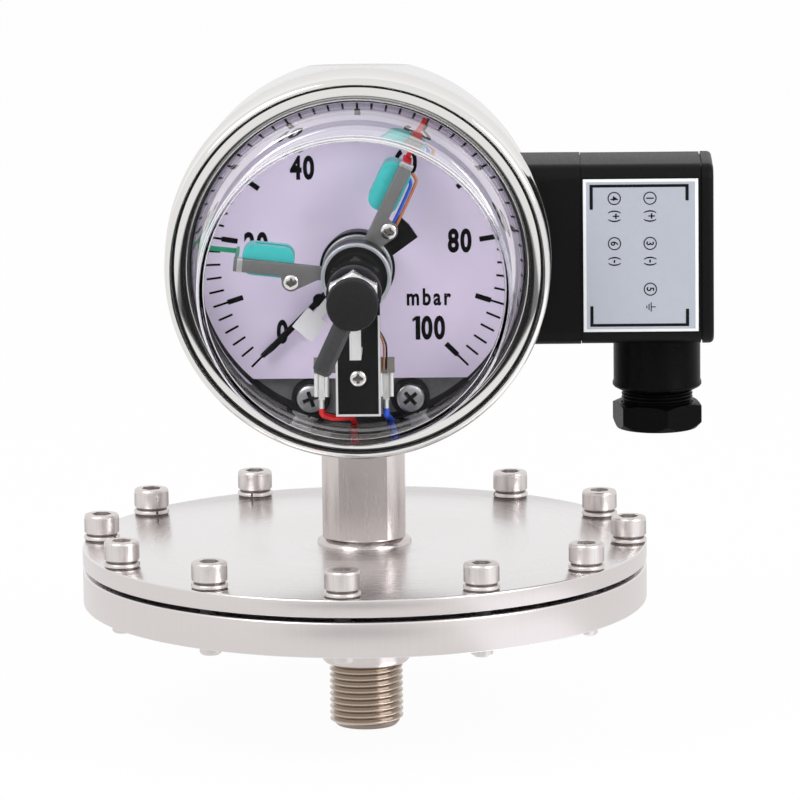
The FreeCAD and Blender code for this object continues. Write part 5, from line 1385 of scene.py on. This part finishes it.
@dataclass(frozen=True)
class ScrewGroup:
    """Screws of one kind on one body, each with its x, its y and the turn of its recess on the dial."""

    name: str
    node: str
    body: str
    screw: PanScrew
    spots: Sequence[tuple[float, float, float]]
    clock: float = 0.0
    finish: Finish = NICKEL
    # Finish of the recess's painted shade.
    recess: Finish = RECESS_LIGHT_PAINTED_SHADE
    slot: str = "nickel"

    def build(self) -> None:
        """Build the screws as one piece."""
        piece = Workpiece(self.name, on_dial(self.clock))
        for x, y, turn in self.spots:
            place = Matrix.Translation((x, y, 0.0)) @ Matrix.Rotation(math.radians(turn), 4, "Z")
            piece.join(self.screw.build(), place)
        piece.finish(self.finish, self.body, [self.node], self.slot, others=(self.recess,))


SCREW_GROUPS = (
    ScrewGroup("base_plate_screws", "plate_screws", "housing", PanScrew(3.95, 23.7, 25.9, HeadForm.FLAT),
               ((-13.9, -39.6, 20.0), (13.9, -39.6, 40.0)), finish=ZINC, recess=RECESS_PAINTED_SHADE, slot="zinc"),
    ScrewGroup("bracket_plate_screw", "bracket_screw", "housing", PanScrew(2.35, 48.9, 50.1),
               ((0.0, -29.5, 0.0),)),
    ScrewGroup("low_ear_screw", "low_arm_screw", "low_limit", PanScrew(2.15, 57.0, 57.9),
               ((-3.2, 17.6, 0.0),), LOW_CLOCK),
    ScrewGroup("high_ear_screw", "high_arm_screw", "high_limit", PanScrew(2.15, 46.0, 46.5),
               ((3.2, 13.6, 0.0),), HIGH_CLOCK),
)


@dataclass
class ContactUnit:
    """Small parts in front of the dial: screws, the bracket's border, terminals, arms and leads.

    A terminal's floor, tongue and neck are boxes, each with half its width, its bottom, top, back and front.
    """

    bracket_half: float = 6.2
    bracket_bottom: float = -40.2
    plate_top: float = -12.0
    plate_face: float = 48.9
    border_width: float = 0.6
    border_height: float = 0.08
    terminal_places: tuple[float, float] = (-10.2, 7.6)
    terminal_boxes: tuple[tuple[float, ...], ...] = (
        (2.1, -35.4, -28.4, 44.8, 45.15), (0.75, -33.6, -28.5, 45.1, 45.45), (0.85, -36.4, -35.2, 44.9, 45.4))
    rail_place: float = 1.5
    rail_radius: float = 0.58
    rail_ends: tuple[float, float] = (-35.2, -28.6)
    rail_level: float = 45.55
    barrel_radius: float = 1.0
    barrel_ends: tuple[float, float] = (-38.4, -35.9)
    barrel_level: float = 45.5
    barrel_squash: tuple[float, float] = (1.5, 0.72)
    arm_levels: tuple[tuple[str, float, float], ...] = (("low", LOW_CLOCK, 55.0), ("high", HIGH_CLOCK, 44.0))
    arm_edge: float = 0.3
    fold_edge: float = 0.35
    fold_half: float = 1.95
    fold_ends: tuple[float, float] = (31.3, 32.9)
    fold_rise: tuple[float, float] = (0.1, 2.15)
    sensor_lead_radius: float = 0.45
    sensor_lead_level: float = 43.3
    wire_radius: float = 0.28

    def build(self) -> None:
        """Build the unit's small parts."""
        for group in SCREW_GROUPS:
            group.build()
        self.build_border()
        self.build_terminals()
        self.build_arms()
        self.build_leads()

    def build_border(self) -> None:
        """Lay the bright border along the sides and the foot of the bracket's face plate."""
        piece = Workpiece("face_plate_border", on_dial())
        low = self.plate_face
        high = low + self.border_height
        half = self.bracket_half
        inner = half - self.border_width
        for left, right in ((-half, -inner), (inner, half)):
            piece.block((left, self.bracket_bottom, low), (right, self.plate_top, high))
        piece.block((-inner, self.bracket_bottom, low),
                    (inner, self.bracket_bottom + self.border_width, high))
        piece.finish(BORDER_GREY, "housing", slot="nickel")

    def build_terminals(self) -> None:
        """Shape the push-on terminals: a floor with two rolled rails, a tongue, a neck and a barrel."""
        piece = Workpiece("push_on_terminals", on_dial())
        for place in self.terminal_places:
            for half, bottom, top, low, high in self.terminal_boxes:
                piece.block((place - half, bottom, low), (place + half, top, high))
            for across in (place - self.rail_place, place + self.rail_place):
                piece.rod(self.rail_radius, *[(across, end, self.rail_level) for end in self.rail_ends], 24)
            ends = [(place, end, self.barrel_level) for end in self.barrel_ends]
            piece.rod(self.barrel_radius, *ends, 28, self.barrel_squash)
        piece.finish(STRIP_STEEL, "housing", ["terminals"], "nickel")

    def build_arms(self) -> None:
        """Soften the edges of the arms and rims, and add the arms' folded-up ends, lit by a painted
        highlight.
        """
        for side, clock, level in self.arm_levels:
            body = f"{side}_limit"
            arm = Workpiece(f"{side}_arm_bar")
            arm.copy_node(f"{side}_arm")
            arm.soften(self.arm_edge, 2)
            arm.finish(ARM_GREY, body, [f"{side}_arm"], "arm_grey")
            # Painted highlight on the folded end.
            fold = Workpiece(f"{side}_arm_fold", on_dial(clock))
            fold.block((-self.fold_half, self.fold_ends[0], level + self.fold_rise[0]),
                       (self.fold_half, self.fold_ends[1], level + self.fold_rise[1]))
            fold.soften(self.fold_edge)
            fold.finish(FOLD_HIGHLIGHT_GREY, body, slot="arm_grey")
            rim = Workpiece(f"{side}_rim_ring")
            rim.copy_node(f"{side}_rim")
            rim.soften(self.arm_edge, 2)
            rim.finish(RIM_GREY, body, [f"{side}_rim"], "rim_grey")

    def build_leads(self) -> None:
        """Lay the sensor's two leads along its arm, and thin wires from the hub to the right terminal."""
        pair = Workpiece("sensor_lead_pair", on_dial(HIGH_CLOCK))
        level = self.sensor_lead_level
        for colour, across, entry in ((0, 3.6, 29.0), (1, 4.6, 30.6)):
            pair.strand([(across - 0.7, 10.0, level), (across, 13.2, level), (across, entry - 2.5, level),
                         (across - 0.4, entry - 0.8, level), (2.4, entry, level)],
                        self.sensor_lead_radius, colour)
        pair.finish(WIRE_BLUE, "high_limit", ["sensor_leads"], "blue_wire", 60.0, (WIRE_BROWN,))
        wires = Workpiece("terminal_wires", on_dial())
        end = self.terminal_places[1] - 0.6
        for colour, shift in ((0, 0.0), (1, 0.7)):
            wires.strand([(5.2, -16.0, 45.4 - shift), (7.0 + shift, -19.5, 45.6), (7.2 + shift, -23.0, 46.3),
                          (end + shift, -26.4, 46.9), (end + shift, -28.6, 46.0)], self.wire_radius, colour)
        wires.finish(WIRE_BROWN, "housing", slot="brass", others=(HUB_BLACK,))


@dataclass
class Connector:
    """Moulded shapes of the plug connector: adapter, body, cover, gland and its cap.

    The gland rim's points are offsets from the gland's radius and bottom. The ring levels are below the
    bottom, and the nut's slopes hold how far they cut in and how far they reach along the nut.
    """

    root: float = 42.0
    split: float = 61.7
    end: float = 95.3
    face: float = 98.7
    half_height: float = 25.4
    front: float = 25.0
    back: float = -5.0
    rounding: float = 4.2
    lid_rounding: float = 1.4
    body_inset: float = 0.1
    body_gaps: tuple[float, float] = (0.15, 0.2)
    joint_inset: float = 0.7
    joint_overlap: float = 0.5
    lid_gap: float = 0.2
    case_radius: float = 51.65
    gland_x: float = 83.0
    gland_radius: float = 12.5
    gland_bore: float = 7.5
    gland_sink: float = 2.0
    gland_bottom: float = -40.4
    gland_rim: Profile = ((-0.3, 3.0), (0.0, 2.2), (0.0, 1.6), (-0.4, 1.1))
    neck_radius: float = 10.0
    neck_root: float = 9.3
    neck_bottom: float = -47.8
    ring_count: int = 4
    ring_pitch: float = 1.0
    ring_levels: tuple[float, float, float, float] = (0.4, 0.6, 0.95, 1.15)
    nut_top: float = -43.8
    nut_bottom: float = -51.0
    nut_flats: float = 22.6
    nut_turn: float = 12.0
    nut_bore: float = 5.0
    nut_room: float = 10.15
    nut_floor: float = 3.0
    trim_radius: float = 20.0
    trim_play: float = 0.1
    top_slope: tuple[float, float] = (0.2, 0.8)
    bottom_slope: tuple[float, float] = (0.5, 1.9)

    def build(self) -> None:
        """Build the connector's shapes."""
        adapter = Workpiece("adapter_block", on_dial())
        self._bar(adapter, self.root, self.split, 0.0)
        case = Workpiece("case_room")
        case.turn(ring(0.0, self.case_radius, -FAR, FAR), 192)
        adapter.carve(case)
        adapter.finish(CONNECTOR_BLACK, "housing", ["connector_adapter"], "connector_black")
        body = Workpiece("connector_body", on_dial())
        self._bar(body, self.split + self.body_gaps[0], self.end - self.body_gaps[1], self.body_inset)
        self._bar(body, self.split, self.end + self.joint_overlap, self.joint_inset)
        body.finish(CONNECTOR_BLACK, "housing", ["connector_housing"], "connector_black")
        cover = Workpiece("connector_lid", on_dial())
        self._bar(cover, self.end + self.lid_gap, self.face, 0.0)
        limit = self.face - HAIR
        rim = [edge for edge in cover.mesh.edges if all(vertex.co.x > limit for vertex in edge.verts)]
        cover.bevel(rim, self.lid_rounding, 4)
        cover.finish(CONNECTOR_BLACK, "housing", ["connector_cover"], "connector_black")
        self.build_gland()

    def _bar(self, piece: Workpiece, left: float, right: float, inset: float) -> None:
        """Add a bar along the connector with rounded long edges.

        Args:
            piece: Workpiece that gets the bar.
            left: Its left end.
            right: Its right end.
            inset: How far its sides lie inside the connector's outline.
        """
        half = self.half_height - inset
        corners = piece.block((left, -half, self.back + inset), (right, half, self.front - inset))
        edges = {edge for corner in corners for edge in corner.link_edges}
        length = 0.5 * (right - left)
        along = [edge for edge in edges if abs(edge.verts[0].co.x - edge.verts[1].co.x) > length]
        piece.bevel(along, self.rounding, 8)

    def build_gland(self) -> None:
        """Turn the gland's barrel with its ringed neck, and make the hexagon cap."""
        place = Matrix.Translation((self.gland_x, -(self.front + self.back) / 2.0, HEAD))
        barrel = Workpiece("gland_barrel", place)
        radius = self.gland_radius
        bottom = self.gland_bottom
        top = self.gland_sink - self.half_height
        profile = [(self.gland_bore, top), (radius + self.gland_rim[0][0], top)]
        profile += [(radius + out, bottom + up) for out, up in self.gland_rim]
        profile.append((self.neck_radius, bottom))
        sides = (self.neck_root, self.neck_root, self.neck_radius, self.neck_radius)
        for step in range(self.ring_count):
            low = bottom - self.ring_pitch * step
            profile += [(side, low - level) for side, level in zip(sides, self.ring_levels)]
        profile += [(self.neck_root, self.neck_bottom), (self.gland_bore, self.neck_bottom)]
        barrel.turn(profile, 96)
        # The barrel and the cap get the gland's painted shade.
        barrel.finish(GLAND_SHADED_BLACK, "housing", slot="connector_black")
        cap = Workpiece("gland_cap", place @ Matrix.Rotation(math.radians(self.nut_turn), 4, "Z"))
        cap.plate(hexagon(self.nut_flats), self.nut_bottom, self.nut_top)
        self._trim_cap(cap)
        cap.finish(GLAND_SHADED_BLACK, "housing", ["gland_nut"], "connector_black", 25.0)

    def _trim_cap(self, cap: Workpiece) -> None:
        """Chamfer the cap's corners, and bore it.

        Args:
            cap: Workpiece of the cap.
        """
        flat = self.nut_flats / 2.0
        corner = self.nut_flats / math.sqrt(3.0) + self.trim_play
        below = self.nut_bottom - PAST
        above = self.nut_top + PAST
        trim = Workpiece("trim")
        trim.turn([(flat - self.bottom_slope[0], below), (self.trim_radius, below), (self.trim_radius, above),
                   (flat - self.top_slope[0], above), (flat + self.trim_play, self.nut_top),
                   (corner, self.nut_top - self.top_slope[1]),
                   (corner, self.nut_bottom + self.bottom_slope[1]), (flat, self.nut_bottom)], 96)
        cap.carve(trim)
        floor = self.nut_bottom + self.nut_floor
        bore = Workpiece("bore")
        bore.turn([(0.0, below), (self.nut_bore, below), (self.nut_bore, floor), (self.nut_room, floor),
                   (self.nut_room, above), (0.0, above)], 64)
        cap.carve(bore)


@dataclass
class Studio:
    """Camera, floor, world, lamps and the cards that only reflections see.

    Lengths are in metres here, apart from the camera's sensor, whose width is in millimetres.
    """

    camera_place: tuple[float, float, float] = (0.047418, -1.935987, 0.435305)
    azimuth: float = 1.092
    elevation: float = 10.526
    roll: float = -0.663
    focal_pixels: float = 6964.154
    picture_pixels: float = 800.0
    sensor: float = 36.0
    floor_level: float = -0.0182
    floor_half: float = 6.0
    floor_share: float = 0.95
    soft_light: float = 0.74
    fan_first: float = 38.0
    fan_last: float = 78.0
    lamp_target: tuple[float, float, float] = (0.0, 0.0, 0.07)

    def build(self) -> None:
        """Set up the whole studio."""
        self.add_camera()
        self.add_floor()
        self.add_cards()
        self.add_world()
        self.add_lamps()
        bpy.context.scene.view_settings.view_transform = "Standard"

    def add_camera(self) -> None:
        """Stand the camera where the photograph was taken."""
        azimuth = math.radians(self.azimuth)
        elevation = math.radians(self.elevation)
        roll = math.radians(self.roll)
        back = Vector((math.sin(azimuth) * math.cos(elevation), -math.cos(azimuth) * math.cos(elevation),
                       math.sin(elevation)))
        level = Vector((math.cos(azimuth), math.sin(azimuth), 0.0))
        rise = back.cross(level)
        right = math.cos(roll) * level + math.sin(roll) * rise
        up = -math.sin(roll) * level + math.cos(roll) * rise
        camera = bpy.data.cameras.new("camera")
        camera.sensor_width = self.sensor
        camera.lens = self.focal_pixels * self.sensor / self.picture_pixels
        camera.clip_end = 50.0
        item = bpy.data.objects.new("camera", camera)
        matrix = Matrix((right, up, back)).transposed().to_4x4()
        matrix.translation = self.camera_place
        item.matrix_world = matrix
        bpy.context.scene.collection.objects.link(item)
        bpy.context.scene.camera = item

    def add_floor(self) -> None:
        """Lay a plain white floor that keeps a soft shadow."""
        material, tree = new_material("floor_white")
        shader = tree.nodes["Principled BSDF"]
        set_inputs(shader, Base_Color=(0.93, 0.93, 0.93, 1.0), Roughness=0.9, Specular_IOR_Level=0.0)
        glow = tree.nodes.new("ShaderNodeEmission")
        share = tree.nodes.new("ShaderNodeMath")
        share.operation = "MULTIPLY"
        share.inputs[1].default_value = self.floor_share
        tree.links.new(self._seen(tree), share.inputs[0])
        self._mix(tree, share.outputs["Value"], shader.outputs["BSDF"], glow.outputs["Emission"])
        self._sheet("floor", self._oblong((0.0, 0.0), (self.floor_half, self.floor_half)), 0.0, material)

    def add_cards(self) -> None:
        """Lay a grey card, a dark flag and two bright fans on the floor, seen only in reflections."""
        self._card("grey_card", self._oblong((0.0, -1.93), (0.32, 1.52)), 0.002, 0.22)
        self._card("dark_flag", self._oblong((-0.03, -0.95), (0.22, 0.5)), 0.004, 0.02)
        self._card("near_fan", self._fan(0.013, 0.065), 0.0006, 2.8)
        self._card("far_fan", self._fan(0.065, 0.6), 0.0006, 1.35)

    def _oblong(self, middle: tuple[float, float], half: tuple[float, float]) -> Profile:
        """Give an oblong's corners.

        Args:
            middle: Middle of the oblong on the floor.
            half: Half of its width and of its depth.

        Returns:
            The four corners, counter-clockwise.
        """
        signs = ((-1.0, -1.0), (1.0, -1.0), (1.0, 1.0), (-1.0, 1.0))
        return [(middle[0] + across * half[0], middle[1] + along * half[1]) for across, along in signs]

    def _fan(self, near: float, far: float) -> Profile:
        """Give the corners of a fan that opens from the stem's axis to the right.

        Args:
            near: Distance of its near edge from the axis.
            far: Distance of its far edge from the axis.

        Returns:
            The four corners, counter-clockwise.
        """
        ends = ((near, self.fan_first), (far, self.fan_first), (far, self.fan_last), (near, self.fan_last))
        turns = [(reach, math.radians(angle)) for reach, angle in ends]
        return [(reach * math.sin(turn), -reach * math.cos(turn)) for reach, turn in turns]

    def _card(self, name: str, corners: Profile, rise: float, grey: float) -> None:
        """Lay one card that only reflections see.

        Args:
            name: Name of the card.
            corners: Corners of the card on the floor.
            rise: How far it lies above the floor.
            grey: How light it is.
        """
        material, tree = new_material(name)
        tree.nodes.remove(tree.nodes["Principled BSDF"])
        path = tree.nodes.new("ShaderNodeLightPath")
        clear = tree.nodes.new("ShaderNodeBsdfTransparent")
        light = tree.nodes.new("ShaderNodeEmission")
        set_inputs(light, Color=(grey, grey, 1.04 * grey, 1.0))
        self._mix(tree, path.outputs["Is Glossy Ray"], clear.outputs["BSDF"], light.outputs["Emission"])
        self._sheet(name, corners, rise, material)

    def _sheet(self, name: str, corners: Profile, rise: float, material: bpy.types.Material) -> None:
        """Lay a flat sheet on the stage.

        Args:
            name: Name of the sheet.
            corners: Its corners.
            rise: How far it lies above the floor.
            material: Its material.
        """
        sheet = bmesh.new()
        sheet.faces.new([sheet.verts.new((*corner, self.floor_level + rise)) for corner in corners])
        data = bpy.data.meshes.new(name)
        sheet.to_mesh(data)
        sheet.free()
        data.materials.append(material)
        item = bpy.data.objects.new(name, data)
        bpy.context.scene.collection.objects.link(item)

    def _mix(self, tree: Tree, share: Socket, first: Socket,
             second: Socket, output: str = "Material Output") -> None:
        """Show a mix of two shaders.

        Args:
            tree: Node tree that gets the mix.
            share: Share of the second shader.
            first: First shader.
            second: Second shader.
            output: Name of the output node.
        """
        mix = tree.nodes.new("ShaderNodeMixShader")
        tree.links.new(share, mix.inputs["Fac"])
        tree.links.new(first, mix.inputs[1])
        tree.links.new(second, mix.inputs[2])
        tree.links.new(mix.outputs["Shader"], tree.nodes[output].inputs["Surface"])

    def _seen(self, tree: Tree) -> Socket:
        """Tell the rays that show the background from those that light the object.

        Args:
            tree: Node tree that gets the nodes.

        Returns:
            A socket that is 1 for camera, glossy and transmission rays.
        """
        path = tree.nodes.new("ShaderNodeLightPath")
        seen = path.outputs["Is Camera Ray"]
        for ray in ("Is Glossy Ray", "Is Transmission Ray"):
            larger = tree.nodes.new("ShaderNodeMath")
            larger.operation = "MAXIMUM"
            tree.links.new(seen, larger.inputs[0])
            tree.links.new(path.outputs[ray], larger.inputs[1])
            seen = larger.outputs["Value"]
        return seen

    def add_world(self) -> None:
        """Give a white surround to what is seen, and a soft even light to the object."""
        world = bpy.data.worlds.new("studio")
        world.use_nodes = True
        tree = world.node_tree
        soft = tree.nodes["Background"]
        white = tree.nodes.new("ShaderNodeBackground")
        for node, strength in ((soft, self.soft_light), (white, 1.0)):
            set_inputs(node, Color=(1.0, 1.0, 1.0, 1.0), Strength=strength)
        self._mix(tree, self._seen(tree), soft.outputs["Background"], white.outputs["Background"],
                  "World Output")
        bpy.context.scene.world = world

    def add_lamps(self) -> None:
        """Hang a soft key lamp to the upper left and a weaker one to the right."""
        self._lamp("key_lamp", (-0.9, -1.1, 1.3), 0.9, 12.0)
        self._lamp("side_lamp", (1.1, -0.8, 0.7), 0.6, 8.0)

    def _lamp(self, name: str, place: tuple[float, float, float], size: float, power: float) -> None:
        """Hang one square soft lamp that points at the object.

        Args:
            name: Name of the lamp.
            place: Where it hangs.
            size: Width of its face.
            power: Its power, in watts.
        """
        lamp = bpy.data.lights.new(name, "AREA")
        lamp.size = size
        lamp.energy = power
        item = bpy.data.objects.new(name, lamp)
        item.location = place
        item.rotation_euler = (Vector(self.lamp_target) - Vector(place)).to_track_quat("-Z", "Y").to_euler()
        bpy.context.scene.collection.objects.link(item)


def dress_nodes() -> None:
    """Give every node of the frame its finish."""
    for finish, names in FINISHED_NODES.items():
        for name in names.split():
            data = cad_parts[name].data
            data.materials.clear()
            data.materials.append(finish.material())


def main() -> None:
    """Dress the frame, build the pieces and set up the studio."""
    logging.basicConfig(level=logging.INFO, format="%(message)s")
    dress_nodes()
    ProcessSide().build()
    Head().build()
    Connector().build()
    ConnectorLabel().build()
    ContactUnit().build()
    Adjuster().build()
    Studio().build()


if __name__ == "__main__":
    main()
